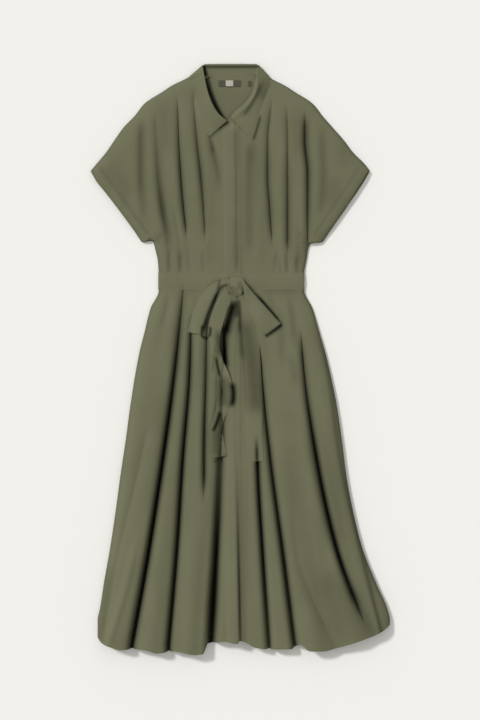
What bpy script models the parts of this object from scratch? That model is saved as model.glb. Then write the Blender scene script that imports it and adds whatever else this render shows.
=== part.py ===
"""Belted shirt dress, laid flat on its back.

X runs to the viewer's right, Y towards the neck and Z up from the surface that the dress lies on. The back panels
rest on that surface. The two fronts lie on them as raised, folded sheets, and meet them along the shoulder, sleeve
and side seams. The belt goes round the waist under the back and over the fronts, and ends in a knot, two loops and
two tails. Left and right are the viewer's. Sizes are in millimetres, and become metres as each mesh is made.
"""

from collections import namedtuple

import bmesh
import bpy
import numpy as np

MM = 0.001

# Driving sizes.
CLOTH = 1.2  # wall of one layer of cloth
GAP = 0.35  # between two pieces that touch
LAYER = CLOTH + GAP
WAIST_LINE = 162.5  # seam between bodice and skirt
HEM_LINE = -590.0  # usual height of the hem
BELT_WIDTH = 35.0
BELT_OVERHANG = 3.6  # of the belt past the side seams
UNDERLAP = 13.0  # of the right front below the left one
PLEAT_ROOM = 5.0  # by which the underlap is narrower beside the top of the pleat
PLEAT_TOP = 95.0
PLEAT_NEAR, PLEAT_FAR = 20.0, 60.0  # from that top, where the narrower part is whole and where it ends
UNDER_ROOM = 0.7  # between the two fronts where they overlap
OVERLAP_LIFT = 2.4  # of the left front over the right one
OVERLAP_PAST_EDGE = (2.0, 13.0)  # where that lift starts to fall and where it ends, past the front edge
OVERLAP_PAST_UNDERLAP = (4.0, 16.0)  # the same past the edge of the underlap
DIVE = (1.0, 9.0)  # past the front edge, where the right front is fully below the left one and where it starts
NECK_END = 478.0  # where the left front's neckline reaches its front edge
RIGHT_NECK_END = 497.0
NECK_CORNER = {"left": 581.0, "right": 579.0}  # where the neckline of a front meets its shoulder seam
SHOULDER_TOP = 591.0
SHOULDER_TIP = 5.0  # width of a front at the very top of its shoulder seam
SHOULDER_TIP_SLANT = 0.4
BACK_CORNER = 588.0  # height of the back panel where neck and shoulder meet
PLACKET_WIDTH = 26.0
PLACKET_CLOTH = 1.0
SIDE_ROUND = 30.0  # how far in from a side seam the fronts reach their full height
SHOULDER_ROUND = 48.0  # the same across a shoulder seam, which slants
SHOULDER_START = (380.0, 420.0)  # heights over which the one passes into the other
SLEEVE_MOUTH = 0.28  # share of the full height that is left at a sleeve's hem
MOUTH_LOW, MOUTH_HIGH = (250.0, 275.0), (388.0, 376.0)  # heights over which a sleeve's mouth closes at its ends
RIGHT_SLEEVE_SHOWS = 5.0  # of the back of the right sleeve past its front
SHOWS_LOW, SHOWS_HIGH = (310.0, 350.0), (400.0, 385.0)  # heights over which it starts and stops showing
NECK_ALLOWANCE = 1.0  # between a front's neckline and the middle of the collar's cloth
EDGE_STRIP = 3.0  # width of the strip of faces along a covered edge
SEAM_UNDER = 0.8  # between the back panel's neck edge and the middle of the collar's cloth
NECK_LEFT = 0.12  # share of the full height that is left beside the collar's seam
NECK_REACH = (5.0, 42.0)  # from that seam, where the fronts start to rise and where they are at full height
BELT_SLOPE = (3.0, 26.0)  # past the belt's edge, where the back starts to come down and where it is down
COLLAR_SLOPE = (525.0, 556.0)  # heights over which the back rises onto the folded collar below it
VALLEY_POINT = 1.0  # radius of the bottom of a valley
STEEPEST = 1.55  # a sloping wall is at most this many times as thick, measured upright
BODICE_FADE, SKIRT_FADE = 45.0, 70.0  # lengths over which a valley starts and ends

Edge = namedtuple("Edge", "height left right")

SHOULDER_EDGE = (
    Edge(592.0, -80.0, 40.0),
    Edge(586.0, -93.0, 49.0),
    Edge(575.0, -113.5, 66.5),
    Edge(562.5, -139.0, 91.5),
    Edge(550.0, -158.0, 111.0),
    Edge(526.0, -195.0, 148.0),
    Edge(501.0, -215.0, 168.0),
    Edge(477.0, -238.0, 189.0),
    Edge(452.0, -256.0, 211.0),
    Edge(427.0, -273.0, 230.0),
    Edge(403.0, -293.0, 254.0),
    Edge(388.0, -305.5, 266.5),
)
SLEEVE_EDGE = (
    Edge(388.0, -305.5, 266.5),
    Edge(366.0, -293.0, 254.0),
    Edge(341.0, -272.5, 237.5),
    Edge(304.0, -244.0, 211.0),
    Edge(267.0, -217.0, 185.0),
    Edge(243.0, -201.0, 169.0),
)
SIDE_EDGE = (
    Edge(240.0, -179.0, 144.0),
    Edge(230.0, -174.0, 139.5),
    Edge(206.0, -168.0, 135.5),
    Edge(183.0, -166.0, 131.0),
    Edge(WAIST_LINE, -165.5, 130.0),
)
SKIRT_EDGE = (
    Edge(WAIST_LINE, -165.5, 130.0),
    Edge(142.0, -166.0, 131.0),
    Edge(107.0, -182.5, 147.5),
    Edge(58.0, -195.0, 162.0),
    Edge(9.0, -207.0, 176.0),
    Edge(-89.0, -223.5, 197.0),
    Edge(-163.0, -236.0, 208.0),
    Edge(-237.0, -248.0, 217.5),
    Edge(-311.0, -258.5, 231.5),
    Edge(-384.0, -270.5, 250.0),
    Edge(-458.0, -283.0, 279.0),
    Edge(-507.0, -287.5, 300.5),
    Edge(-532.0, -291.0, 306.5),
    Edge(HEM_LINE, -291.0, 307.0),
)

Hem = namedtuple("Hem", "across height")

HEM_CURVE = (
    Hem(-291.0, -566.0),
    Hem(-282.0, -577.0),
    Hem(-264.0, -584.0),
    Hem(-242.0, -590.0),
    Hem(-217.0, -588.5),
    Hem(-193.0, -590.0),
    Hem(-168.0, -597.0),
    Hem(-133.0, -593.0),
    Hem(-90.0, -600.0),
    Hem(-76.0, -599.0),
    Hem(-66.0, -579.0),
    Hem(-29.0, -573.5),
    Hem(-6.0, -577.0),
    Hem(0.0, -571.0),
    Hem(12.0, -575.0),
    Hem(31.0, -585.0),
    Hem(61.0, -589.0),
    Hem(105.0, -588.5),
    Hem(124.0, -579.5),
    Hem(142.0, -592.0),
    Hem(170.0, -592.5),
    Hem(201.0, -585.5),
    Hem(234.0, -575.0),
    Hem(266.0, -564.0),
    Hem(291.0, -552.0),
    Hem(307.0, -540.0),
)

# Heights of the raised fronts above the back panels, along the dress.
Rise = namedtuple("Rise", "height rise")

RISES = (
    Rise(600.0, 3.0),
    Rise(575.0, 4.5),
    Rise(560.0, 6.0),
    Rise(525.0, 9.0),
    Rise(490.0, 11.0),
    Rise(420.0, 12.5),
    Rise(300.0, 12.0),
    Rise(240.0, 10.0),
    Rise(208.0, 7.0),
    Rise(186.0, 4.4),
    Rise(WAIST_LINE, 4.0),
    Rise(140.0, 4.6),
    Rise(112.0, 9.0),
    Rise(50.0, 14.0),
    Rise(-100.0, 17.0),
    Rise(-300.0, 20.0),
    Rise(-600.0, 24.0),
)

# A fold is a valley between two ridges. It passes through one X at each station, is deepest between start and end,
# and its ridges reach their full height at width from its middle. Depth is a share of the rise.
BodiceFold = namedtuple(
    "BodiceFold", "name shoulder bust under_bust ribs midriff waist start end width depth"
)
BODICE_STATIONS = (524.0, 452.0, 380.0, 309.0, 247.0, 196.0)
LEFT_BODICE_FOLDS = (
    BodiceFold("sleeve_left", -198, -205, -205, -199, -191, -160, 505, 265, 21, 0.60),
    BodiceFold("outer_left", -175, -172, -170, -160, -151, -146, 520, 175, 18, 0.78),
    BodiceFold("gather_left", -151, -150, -146, -136, -127, -124, 330, 172, 13, 0.45),
    BodiceFold("dart_left", -129, -127, -123, -117, -112, -106, 550, 172, 20, 0.88),
    BodiceFold("inner_left", -96, -90, -82, -76, -73, -73.5, 572, 172, 20, 0.88),
    BodiceFold("collar_left", -72, -64, -47, -43, -43, -46, 470, 330, 15, 0.34),
)
RIGHT_BODICE_FOLDS = (
    BodiceFold("inner_right", 20, 20.5, 19.5, 19.5, 19, 19, 460, 205, 25, 0.34),
    BodiceFold("dart_right", 63, 55.5, 55, 57.5, 60, 75, 545, 172, 20, 0.82),
    BodiceFold("outer_right", 94, 96, 96, 96, 96, 100, 530, 172, 17, 0.82),
    BodiceFold("gather_right", 112, 114, 117, 117, 117, 118, 300, 172, 12, 0.45),
    BodiceFold("side_right", 132, 131, 137, 137, 137, 128, 520, 205, 18, 0.80),
    BodiceFold("sleeve_right", 168, 167, 169.5, 165, 158, 131, 490, 280, 17, 0.48),
)
SkirtFold = namedtuple("SkirtFold", "name waist hip thigh knee hem start end width depth")
SKIRT_STATIONS = (145.0, -20.0, -204.0, -388.0, -583.0)
LEFT_SKIRT_FOLDS = (
    SkirtFold("sweep_left", -139, -166, -202, -246, -283, -110, -700, 36, 0.42),
    SkirtFold("side_left", -119, -134, -158.5, -187, -221, 150, -700, 25, 0.84),
    SkirtFold("outer_left", -102, -105, -119, -131, -146, 85, -700, 23, 0.84),
    SkirtFold("inner_left", -70, -72, -76, -76, -74, 60, -300, 18, 0.66),
    SkirtFold("pleat", -18, -37, -46, -52, -62, 130, -700, 25, 0.97),
)
RIGHT_SKIRT_FOLDS = (
    SkirtFold("short_right", 29, 33, 35, 43, 53, -185, -700, 21, 0.78),
    SkirtFold("inner_right", 35.5, 44, 61.5, 84, 102, 55, -700, 24, 0.88),
    SkirtFold("sweep_right", 82, 90, 100, 116, 192, -300, -700, 36, 0.42),
    SkirtFold("outer_right", 120, 131, 158, 199, 277, 75, -490, 25, 0.86),
)
# The edge of the left front, which lies on top.
FrontEdge = namedtuple("FrontEdge", "height across")
FRONT_EDGES = (
    FrontEdge(500.0, -11.0),
    FrontEdge(380.0, -8.0),
    FrontEdge(180.0, -6.5),
    FrontEdge(-20.0, -7.0),
    FrontEdge(-204.0, -8.0),
    FrontEdge(-388.0, -5.0),
    FrontEdge(-600.0, 0.0),
)

# Ridges of the back of the skirt, where it lifts a little off the surface below the ridges of the front.
BackRidge = namedtuple("BackRidge", "name hip hem width lift")
BACK_RIDGES = (
    BackRidge("back_left", -120, -185, 26, 4.5),
    BackRidge("back_inner_left", -60, -106, 24, 5.0),
    BackRidge("back_middle", 0, -8, 24, 3.5),
    BackRidge("back_inner_right", 62, 152, 30, 5.0),
    BackRidge("back_right", 110, 240, 28, 4.5),
)
BACK_RIDGE_TOP = 20.0
BACK_RIDGE_FULL = -420.0

# The collar, section by section round the neck: its seam with the neckline, the line where it rolls over, and its
# outer edge. A front section's outer edge lies on the front, and its height is worked out from there.
Section = namedtuple("Section", "name seam_x seam_y seam_z roll_x roll_y roll_z edge_x edge_y edge_z")
ON_FRONT = None
COLLAR_SECTIONS = (
    Section("left_tip", -29, 487, 11.0, -25.5, 490, 19.0, -65.5, 456, ON_FRONT),
    Section("left_chest", -50, 504, 9.0, -41, 505, 19.0, -77, 488, ON_FRONT),
    Section("left_neck", -64, 523, 8.0, -53, 526, 19.0, -88, 521, ON_FRONT),
    Section("left_side", -73, 549, 7.6, -63, 552, 18.0, -96, 549, ON_FRONT),
    Section("left_shoulder", -78, 571, 7.0, -69.5, 577, 16.0, -103, 567, ON_FRONT),
    Section("left_fold_top", -78, 581, 6.4, -74, 593, 13.5, -107, 577, 8.6),
    Section("left_fold", -74, 586, 5.2, -78.5, 603, 9.0, -109.5, 584, 4.5),
    Section("left_fold_under", -69, 585, 4.6, -73, 605, 6.0, -106, 579, 0.65),
    Section("left_back", -58, 583, 4.2, -60, 605.5, 5.6, -84, 569, 0.65),
    Section("back_left_half", -40, 581, 4.2, -41, 605.5, 5.6, -50, 564, 0.65),
    Section("back", -18, 580.5, 4.2, -18, 605.5, 5.6, -18, 562, 0.65),
    Section("back_right_half", 4, 581, 4.2, 5, 605.5, 5.6, 14, 564, 0.65),
    Section("right_back", 20, 583, 4.2, 22, 605.5, 5.6, 46, 569, 0.65),
    Section("right_fold_under", 29, 585, 4.6, 35, 605, 6.0, 64, 579, 0.65),
    Section("right_fold", 34, 586, 5.2, 41, 603, 9.0, 67, 584, 4.5),
    Section("right_fold_top", 33, 580, 6.4, 40, 593, 13.5, 67, 577, 8.6),
    Section("right_shoulder", 28, 569, 7.0, 37, 577, 15.5, 64, 567, ON_FRONT),
    Section("right_side", 15, 548, 7.4, 30, 552, 16.5, 57, 549, ON_FRONT),
    Section("right_neck", -1, 525, 7.6, 16.5, 526, 16.5, 46, 521, ON_FRONT),
    Section("right_chest", -13, 511, 8.0, -1, 505, 16.5, 36, 488, ON_FRONT),
    Section("right_tip", -19, 498, 9.0, -14, 491, 16.0, 24.5, 451, ON_FRONT),
)

# Rows of the collar leaf from its roll to its edge, and how far each bulges past the back neck, where it is folded
# under.
LeafRow = namedtuple("LeafRow", "share bulge")
LEAF_ROWS = (
    LeafRow(0.0, 0.0),
    LeafRow(0.10, 6.0),
    LeafRow(0.28, 8.0),
    LeafRow(0.52, 3.0),
    LeafRow(0.76, 0.0),
    LeafRow(1.0, 0.0),
)
LEAF_TURNED = 0.24  # share of the leaf's width by which its folded part has come down to the surface

# The tails of the belt, from the knot to their ends: the middle of the ribbon, the width that shows from above,
# and how far which edge is turned up.
TailPoint = namedtuple("TailPoint", "across height shown turn")
LEFT_TAIL = (
    TailPoint(-25.0, 136.0, 20, 0.0),
    TailPoint(-37.0, 104.0, 24, 0.0),
    TailPoint(-50.0, 62.0, 27, 0.0),
    TailPoint(-52.0, 32.0, 20, 0.4),
    TailPoint(-43.0, 5.0, 16, 0.8),
    TailPoint(-29.0, -30.0, 17, 1.0),
    TailPoint(-22.5, -64.0, 24, 0.4),
    TailPoint(-32.0, -97.0, 15, -0.8),
    TailPoint(-46.0, -126.0, 18, -0.9),
    TailPoint(-52.0, -155.0, 31, -0.6),
    TailPoint(-44.0, -196.0, 34, -0.2),
)
RIGHT_TAIL = (
    TailPoint(4.0, 134.0, 24, 0.0),
    TailPoint(12.0, 95.0, 27, 0.0),
    TailPoint(20.0, 45.0, 32, -0.3),
    TailPoint(26.0, -15.0, 34, -1.0),
    TailPoint(29.0, -75.0, 34, -1.0),
    TailPoint(28.0, -135.0, 34, 0.6),
    TailPoint(31.0, -206.0, 34, 0.4),
)
# The two edges of each loop of the bow, from the knot to where the ribbon turns back below itself.
LoopPoint = namedtuple("LoopPoint", "reach outer_x outer_y inner_x inner_y")
LEFT_LOOP = (
    LoopPoint(0.00, -21.9, 166.0, -21.9, 151.0),
    LoopPoint(0.35, -63.0, 151.0, -44.0, 133.0),
    LoopPoint(0.65, -88.0, 116.0, -57.0, 100.0),
    LoopPoint(1.00, -107.0, 73.0, -74.0, 50.0),
)
RIGHT_LOOP = (
    LoopPoint(0.00, 8.4, 166.0, 8.4, 150.0),
    LoopPoint(0.35, 32.0, 146.0, 13.0, 121.0),
    LoopPoint(0.65, 60.0, 110.0, 20.0, 89.0),
    LoopPoint(1.00, 86.0, 72.0, 43.0, 45.0),
)
LOOP_OPEN = 11.0  # clear height inside a loop
LOOP_FLOOR = 3.9  # of a loop's lower side over the front
LOOP_PINCH = 3.6  # height between a loop's two sides where it leaves the knot
LOOP_OVER_KNOT_FOOT = 2.7
LOOP_EDGES_DROP = 0.18  # share by which a loop is lower along its two edges
BELT_REACH = 9.0  # how wide a valley the belt bridges
BELT_ROUND = 14.0  # how far in from its ends the belt reaches its full height
TAIL_REACH = 12.0  # how wide a valley the tails and loops bridge
PIECE_REACH = 5.0  # the same for the collar and the placket
KNOT_MIDDLE = (-7.0, 150.0)
KNOT_SIZE = (29.0, 38.0, 15.0)
KNOT_SQUARENESS = 3.2
KNOT_WRAPS = 0.05  # depth of the creases between the wraps of the knot, as a share of its height
TAIL_LIFT = 0.32  # how high a turned tail stands, as a share of its hidden width
STAND_SHARE = 0.86  # of the way from the seam to the roll that the collar stand reaches
STAND_DROP = 1.7  # of the stand's top edge below the roll
LEAF_ROOM = 0.1  # of the collar leaf over the front, more than a seam's gap
LABEL_SIZE = (53.0, 17.0)
LABEL_MIDDLE = (-20.5, 566.5)
PATCH_SIZE = (15.0, 12.0)
PATCH_MIDDLE = (-21.0, 566.0)
LABEL_THICK = 1.0
SIZE_TAB_SIZE = (9.0, 16.0)
SIZE_TAB_MIDDLE = (16.5, 565.0)

# Where the grids of the panels have their rows, from top to bottom.
SHOULDER_ROWS = (SHOULDER_TOP, 583, 572, 560, 547, 532, 516, 502, 494, 486, 478, 462, 440, 414, 388)
SIDE_ROWS = (364, 338, 311, 284, 262, 244, 239.5, 222, 203, 186, WAIST_LINE + GAP / 2)
BODICE_ROWS = SHOULDER_ROWS + SIDE_ROWS
HIP_ROWS = (WAIST_LINE - GAP / 2, 147, 128, 105, 78, 45, 5, -45, -105)
SKIRT_ROWS = HIP_ROWS + (-170, -240, -310, -380, -445, -500, -545, HEM_LINE)
BACK_SKIRT_ROWS = (WAIST_LINE - GAP / 2, 141, 126, 108, 5, -105, -240, -350, -440, -520, HEM_LINE)
# Their columns follow the folds: shares of the way from one fold to the next, where that is wide or less so.
WIDE_FROM, MIDDLE_FROM = 32.0, 23.0
WIDE_SHARES = (0.0, 0.24, 0.5, 0.76)
MIDDLE_SHARES = (0.0, 0.33, 0.67)
NARROW_SHARES = (0.0, 0.5)
ROOM_SHARE = 0.9
BODICE_APART, SKIRT_APART, BACK_APART = 9.0, 12.0, 20.0  # folds that come together keep this much between columns
BACK_COLUMNS = 15
BACK_HEM_RISE = 8.0  # by which the hem of the back shows less than the front's

Finish = namedtuple("Finish", "name colour roughness")
DRESS_CLOTH = Finish("olive_twill", (0.147, 0.141, 0.086), 0.85)
LABEL_CLOTH = Finish("dark_label_tape", (0.030, 0.030, 0.026), 0.80)
PATCH_CLOTH = Finish("pale_label_patch", (0.560, 0.550, 0.500), 0.80)


def flowing(stations, values, wanted):
    """A curve through the values that never overshoots them."""
    x = np.asarray(stations, float)
    y = np.asarray(values, float)
    if x[0] > x[-1]:
        x, y = x[::-1], y[::-1]
    step = np.diff(x)
    slope = np.diff(y) / step
    tangent = np.zeros_like(y)
    same = slope[1:] * slope[:-1] > 0
    tangent[1:-1][same] = 2 * slope[1:][same] * slope[:-1][same] / (slope[1:][same] + slope[:-1][same])
    tangent[0], tangent[-1] = slope[0], slope[-1]
    at = np.clip(np.asarray(wanted, float), x[0], x[-1])
    k = np.clip(np.searchsorted(x, at, side="right") - 1, 0, len(x) - 2)
    t = (at - x[k]) / step[k]
    rising = t * t * (3 - 2 * t)
    return (
        y[k] * (1 - rising)
        + y[k + 1] * rising
        + step[k] * (t * (1 - t) ** 2 * tangent[k] - t * t * (1 - t) * tangent[k + 1])
    )


def column(table, name):
    return [getattr(row, name) for row in table]


def ease(value, low, high):
    """0 at low and 1 at high, with a soft start and end."""
    t = np.clip((np.asarray(value, float) - low) / (high - low), 0, 1)
    return t * t * (3 - 2 * t)


def rounded(distance, reach):
    """A quarter round: 0 at no distance, 1 from reach on."""
    t = np.clip(np.asarray(distance, float) / reach, 0, 1)
    return np.sqrt(1 - (1 - t) ** 2)


def outline(height, side):
    """The X of the laid dress's left or right outline at a height."""
    height = np.asarray(height, float)
    shoulder = flowing(column(SHOULDER_EDGE, "height"), column(SHOULDER_EDGE, side), height)
    sleeve = np.interp(height, column(SLEEVE_EDGE, "height")[::-1], column(SLEEVE_EDGE, side)[::-1])
    body = flowing(column(SIDE_EDGE, "height"), column(SIDE_EDGE, side), height)
    skirt = flowing(column(SKIRT_EDGE, "height"), column(SKIRT_EDGE, side), height)
    found = np.where(height >= SLEEVE_EDGE[0].height, shoulder, sleeve)
    underarm = ease(height, SLEEVE_EDGE[-1].height, SIDE_EDGE[0].height)
    found = np.where(height < SLEEVE_EDGE[-1].height, found + (body - found) * underarm, found)
    return np.where(height < WAIST_LINE, skirt, found)


def hem_height(across):
    return flowing(column(HEM_CURVE, "across"), column(HEM_CURVE, "height"), across)


def along_rows(path, heights, rise=0.0):
    """A path's X on each row of the skirt, whose rows bend towards the curve of the hem."""
    down = (heights[0] - heights) / (heights[0] - HEM_LINE)
    hem = float(hem_height(path(HEM_LINE))) + rise
    return path(heights[0] + (hem - heights[0]) * down)


def front_edge(height):
    return flowing(column(FRONT_EDGES, "height"), column(FRONT_EDGES, "across"), height)


def underlap(height):
    return UNDERLAP - PLEAT_ROOM * ease(np.abs(height - PLEAT_TOP), PLEAT_FAR, PLEAT_NEAR)


def bodice_path(fold, height):
    values = (fold.shoulder, fold.bust, fold.under_bust, fold.ribs, fold.midriff, fold.waist)
    return flowing(BODICE_STATIONS, values, height)


def skirt_path(fold, height):
    return flowing(SKIRT_STATIONS, (fold.waist, fold.hip, fold.thigh, fold.knee, fold.hem), height)


def back_ridge_path(ridge, height):
    down = np.clip((BACK_RIDGE_TOP - height) / (BACK_RIDGE_TOP - HEM_LINE), 0, 1)
    return ridge.hip + (ridge.hem - ridge.hip) * down


def left_after(folds, path, x, height, fade):
    """The share of the rise that the valleys leave at a point."""
    share = np.ones_like(x)
    for fold in folds:
        strength = ease(height, fold.start, fold.start - fade) * ease(height, fold.end, fold.end + fade)
        away = np.sqrt((x - path(fold, height)) ** 2 + VALLEY_POINT)
        share = share * (1 - fold.depth * strength * (1 - rounded(away, fold.width)))
    return share


def neckline_distance(x, height):
    """How far a point is from the seam of the collar."""
    seam = np.array([(row.seam_x, row.seam_y) for row in COLLAR_SECTIONS], float)
    nearest = np.full(x.shape, 1e6)
    for (ax, ay), (bx, by) in zip(seam[:-1], seam[1:]):
        along = ((x - ax) * (bx - ax) + (height - ay) * (by - ay)) / ((bx - ax) ** 2 + (by - ay) ** 2)
        along = np.clip(along, 0, 1)
        away = np.hypot(x - ax - along * (bx - ax), height - ay - along * (by - ay))
        nearest = np.minimum(nearest, away)
    return nearest


def back_under(x, height):
    """The underside of the back: on the surface, but for the belt and the collar below it and its own ridges."""
    past_belt = np.abs(height - WAIST_LINE) - BELT_WIDTH / 2
    over_belt = LAYER * (1 - ease(past_belt, *BELT_SLOPE))
    over_collar = LAYER * ease(height, *COLLAR_SLOPE)
    full = ease(height, BACK_RIDGE_TOP, BACK_RIDGE_FULL)
    ridges = np.zeros_like(x)
    for ridge in BACK_RIDGES:
        away = (x - back_ridge_path(ridge, height)) / ridge.width
        ridges = ridges + ridge.lift * full * np.clip(1 - away * away, 0, 1) ** 2
    return over_belt + over_collar + ridges


def overlap(x, height):
    """1 where the right front passes below the left one."""
    past_edge = x - front_edge(height)
    past_underlap = -UNDERLAP - past_edge
    return (1 - ease(past_edge, *OVERLAP_PAST_EDGE)) * (1 - ease(past_underlap, *OVERLAP_PAST_UNDERLAP))


def front_under(x, height):
    """The underside of the fronts as one folded sheet, before the right one passes below the left one."""
    left = x - outline(height, "left")
    right = outline(height, "right") - x
    mouth = SLEEVE_MOUTH * ease(height, *MOUTH_LOW) * ease(height, *MOUTH_HIGH)
    reach = SIDE_ROUND + (SHOULDER_ROUND - SIDE_ROUND) * ease(height, *SHOULDER_START)
    sides = (mouth + (1 - mouth) * rounded(left, reach)) * (mouth + (1 - mouth) * rounded(right, reach))
    bodice = left_after(LEFT_BODICE_FOLDS + RIGHT_BODICE_FOLDS, bodice_path, x, height, BODICE_FADE)
    skirt = left_after(LEFT_SKIRT_FOLDS + RIGHT_SKIRT_FOLDS, skirt_path, x, height, SKIRT_FADE)
    valleys = np.where(height > WAIST_LINE, bodice, skirt)
    neck = NECK_LEFT + (1 - NECK_LEFT) * ease(neckline_distance(x, height), *NECK_REACH)
    rise = flowing(column(RISES, "height"), column(RISES, "rise"), height)
    return back_under(x, height) + LAYER + OVERLAP_LIFT * overlap(x, height) + rise * sides * valleys * neck


def steepness(x, height):
    """The vertical thickness of a sloping wall, as a multiple of its real thickness."""
    slope_x = (front_under(x + 1, height) - front_under(x - 1, height)) / 2
    slope_y = (front_under(x, height + 1) - front_under(x, height - 1)) / 2
    return np.minimum(np.sqrt(1 + slope_x**2 + slope_y**2), STEEPEST)


def right_front_under(x, height):
    below = 1 - ease(x - front_edge(height), *DIVE)
    return front_under(x, height) - below * (CLOTH * steepness(x, height) + UNDER_ROOM)


def front_top(x, height, reach):
    """The highest point of the fronts near a point, for what lies on them and bridges their valleys."""
    x, height = np.broadcast_arrays(np.asarray(x, float), np.asarray(height, float))
    found = np.zeros_like(x)
    for turn in np.linspace(0, 2 * np.pi, 12, endpoint=False):
        for share in (0.0, 0.5, 1.0):
            near_x = x + reach * share * np.cos(turn)
            near_y = height + reach * share * np.sin(turn)
            top = front_under(near_x, near_y) + CLOTH * steepness(near_x, near_y)
            found = np.maximum(found, top)
    return found


def new_object(name, mesh, finish):
    made = bpy.data.objects.new(name, mesh)
    bpy.data.collections["shirt_dress"].objects.link(made)
    material = bpy.data.materials.get(finish.name) or bpy.data.materials.new(finish.name)
    material.use_nodes = True
    shader = material.node_tree.nodes["Principled BSDF"]
    shader.inputs["Base Color"].default_value = (*finish.colour, 1.0)
    shader.inputs["Roughness"].default_value = finish.roughness
    shader.inputs["Metallic"].default_value = 0.0
    made.data.materials.append(material)
    return made


def cloth(name, points, thickness=CLOTH, side=1.0, finish=DRESS_CLOTH):
    """A wall of cloth on a grid of points, whose columns run along the first axis and rows along the second."""
    columns, rows = points.shape[:2]
    bm = bmesh.new()
    bmesh.ops.create_grid(bm, x_segments=columns - 1, y_segments=rows - 1, size=1.0)
    bm.verts.ensure_lookup_table()
    order = sorted(bm.verts, key=lambda v: (round(v.co.y, 5), round(v.co.x, 5)))
    for k, vert in enumerate(order):
        vert.co = points[k % columns, k // columns] * MM
    bmesh.ops.recalc_face_normals(bm, faces=bm.faces)
    mesh = bpy.data.meshes.new(name)
    bm.to_mesh(mesh)
    bm.free()
    made = new_object(name, mesh, finish)
    mesh.shade_smooth()
    wall = made.modifiers.new("wall", "SOLIDIFY")
    wall.thickness = thickness * MM
    wall.offset = side
    wall.use_even_offset = False
    wall.use_quality_normals = True
    return made


def facing_up(made):
    """Turns an open sheet so that its faces look up, before its wall is grown."""
    up = sum(face.normal.z * face.area for face in made.data.polygons)
    if up < 0:
        made.data.flip_normals()


def between(knots, apart):
    """Columns through the knots of each row, with more of them between knots that lie far apart."""
    knots = np.array(knots, float)
    count = len(knots)
    room = np.minimum(apart, (knots[-1] - knots[0]) / (count - 1) * ROOM_SHARE)
    for k in range(1, count - 1):
        knots[k] = np.maximum(knots[k], knots[k - 1] + room)
    for k in range(count - 2, 0, -1):
        knots[k] = np.minimum(knots[k], knots[k + 1] - room)
    columns = []
    for k in range(count - 1):
        wide = (knots[k + 1] - knots[k]).max()
        shares = WIDE_SHARES if wide > WIDE_FROM else MIDDLE_SHARES if wide > MIDDLE_FROM else NARROW_SHARES
        columns += [knots[k] + (knots[k + 1] - knots[k]) * share for share in shares]
    columns.append(knots[-1])
    return np.array(columns)


def neckline(height, side):
    """The X of the front neckline at a height, for the left or the right front."""
    rows = [row for row in COLLAR_SECTIONS if row.name.startswith(side) and "back" not in row.name]
    rows = [row for row in rows if "under" not in row.name and row.name != f"{side}_fold"]
    order = sorted(rows, key=lambda row: row.seam_y)
    start = (NECK_END, float(front_edge(NECK_END))) if side == "left" else (RIGHT_NECK_END, order[0].seam_x)
    return flowing([start[0]] + column(order, "seam_y"), [start[1]] + column(order, "seam_x"), height)


def bodice_front(side):
    heights = np.array(BODICE_ROWS, float)
    edge = front_edge(heights)
    seam = neckline(np.minimum(heights, NECK_CORNER[side]), side)
    tip = SHOULDER_TIP + (SHOULDER_TOP - heights) * SHOULDER_TIP_SLANT
    if side == "left":
        outer = outline(heights, "left")
        inner = np.where(heights > NECK_END, seam - NECK_ALLOWANCE, edge)
        inner = np.where(heights > NECK_CORNER["left"], outer + tip, inner)
        paths = [bodice_path(fold, heights) for fold in LEFT_BODICE_FOLDS]
        knots = [outer] + paths + [inner - UNDERLAP - EDGE_STRIP, inner]
    else:
        shows = RIGHT_SLEEVE_SHOWS * ease(heights, *SHOWS_LOW) * ease(heights, *SHOWS_HIGH)
        outer = outline(heights, "right") - shows
        inner = np.where(heights > RIGHT_NECK_END, seam + NECK_ALLOWANCE, edge - UNDERLAP)
        inner = np.where(heights > NECK_CORNER["right"], outer - tip, inner)
        paths = [bodice_path(fold, heights) for fold in RIGHT_BODICE_FOLDS]
        knots = [inner, inner + UNDERLAP + EDGE_STRIP] + paths + [outer]
    x = between(knots, BODICE_APART)
    y = np.broadcast_to(heights, x.shape)
    z = front_under(x, y) if side == "left" else right_front_under(x, y)
    made = cloth(f"bodice_front_{side}", np.stack([x, y, z], axis=2))
    facing_up(made)


def skirt_front(side):
    heights = np.array(SKIRT_ROWS, float)
    folds = LEFT_SKIRT_FOLDS if side == "left" else RIGHT_SKIRT_FOLDS
    paths = [along_rows(lambda y, fold=fold: skirt_path(fold, y), heights) for fold in folds]
    outer = along_rows(lambda y: outline(y, side), heights)
    edge = along_rows(front_edge, heights)
    under = along_rows(lambda y: front_edge(y) - underlap(y), heights)
    if side == "left":
        knots = [outer] + paths + [under - EDGE_STRIP, edge]
    else:
        knots = [under, edge + EDGE_STRIP] + paths + [outer]
    x = between(knots, SKIRT_APART)
    down = (heights[0] - heights) / (heights[0] - HEM_LINE)
    y = heights[0] + (hem_height(x[:, -1:]) - heights[0]) * down
    z = front_under(x, y) if side == "left" else right_front_under(x, y)
    made = cloth(f"skirt_front_{side}", np.stack([x, y, z], axis=2))
    facing_up(made)


def back_neck(across):
    """The height of the back panel's top edge, which follows the seam of the collar."""
    rows = [row for row in COLLAR_SECTIONS if "back" in row.name or "fold_under" in row.name]
    points = [(outline(BACK_CORNER, "left"), BACK_CORNER)]
    points += [(row.seam_x, row.seam_y - SEAM_UNDER) for row in rows]
    points += [(outline(BACK_CORNER, "right"), BACK_CORNER)]
    return flowing([float(x) for x, _ in points], [y for _, y in points], across)


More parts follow.
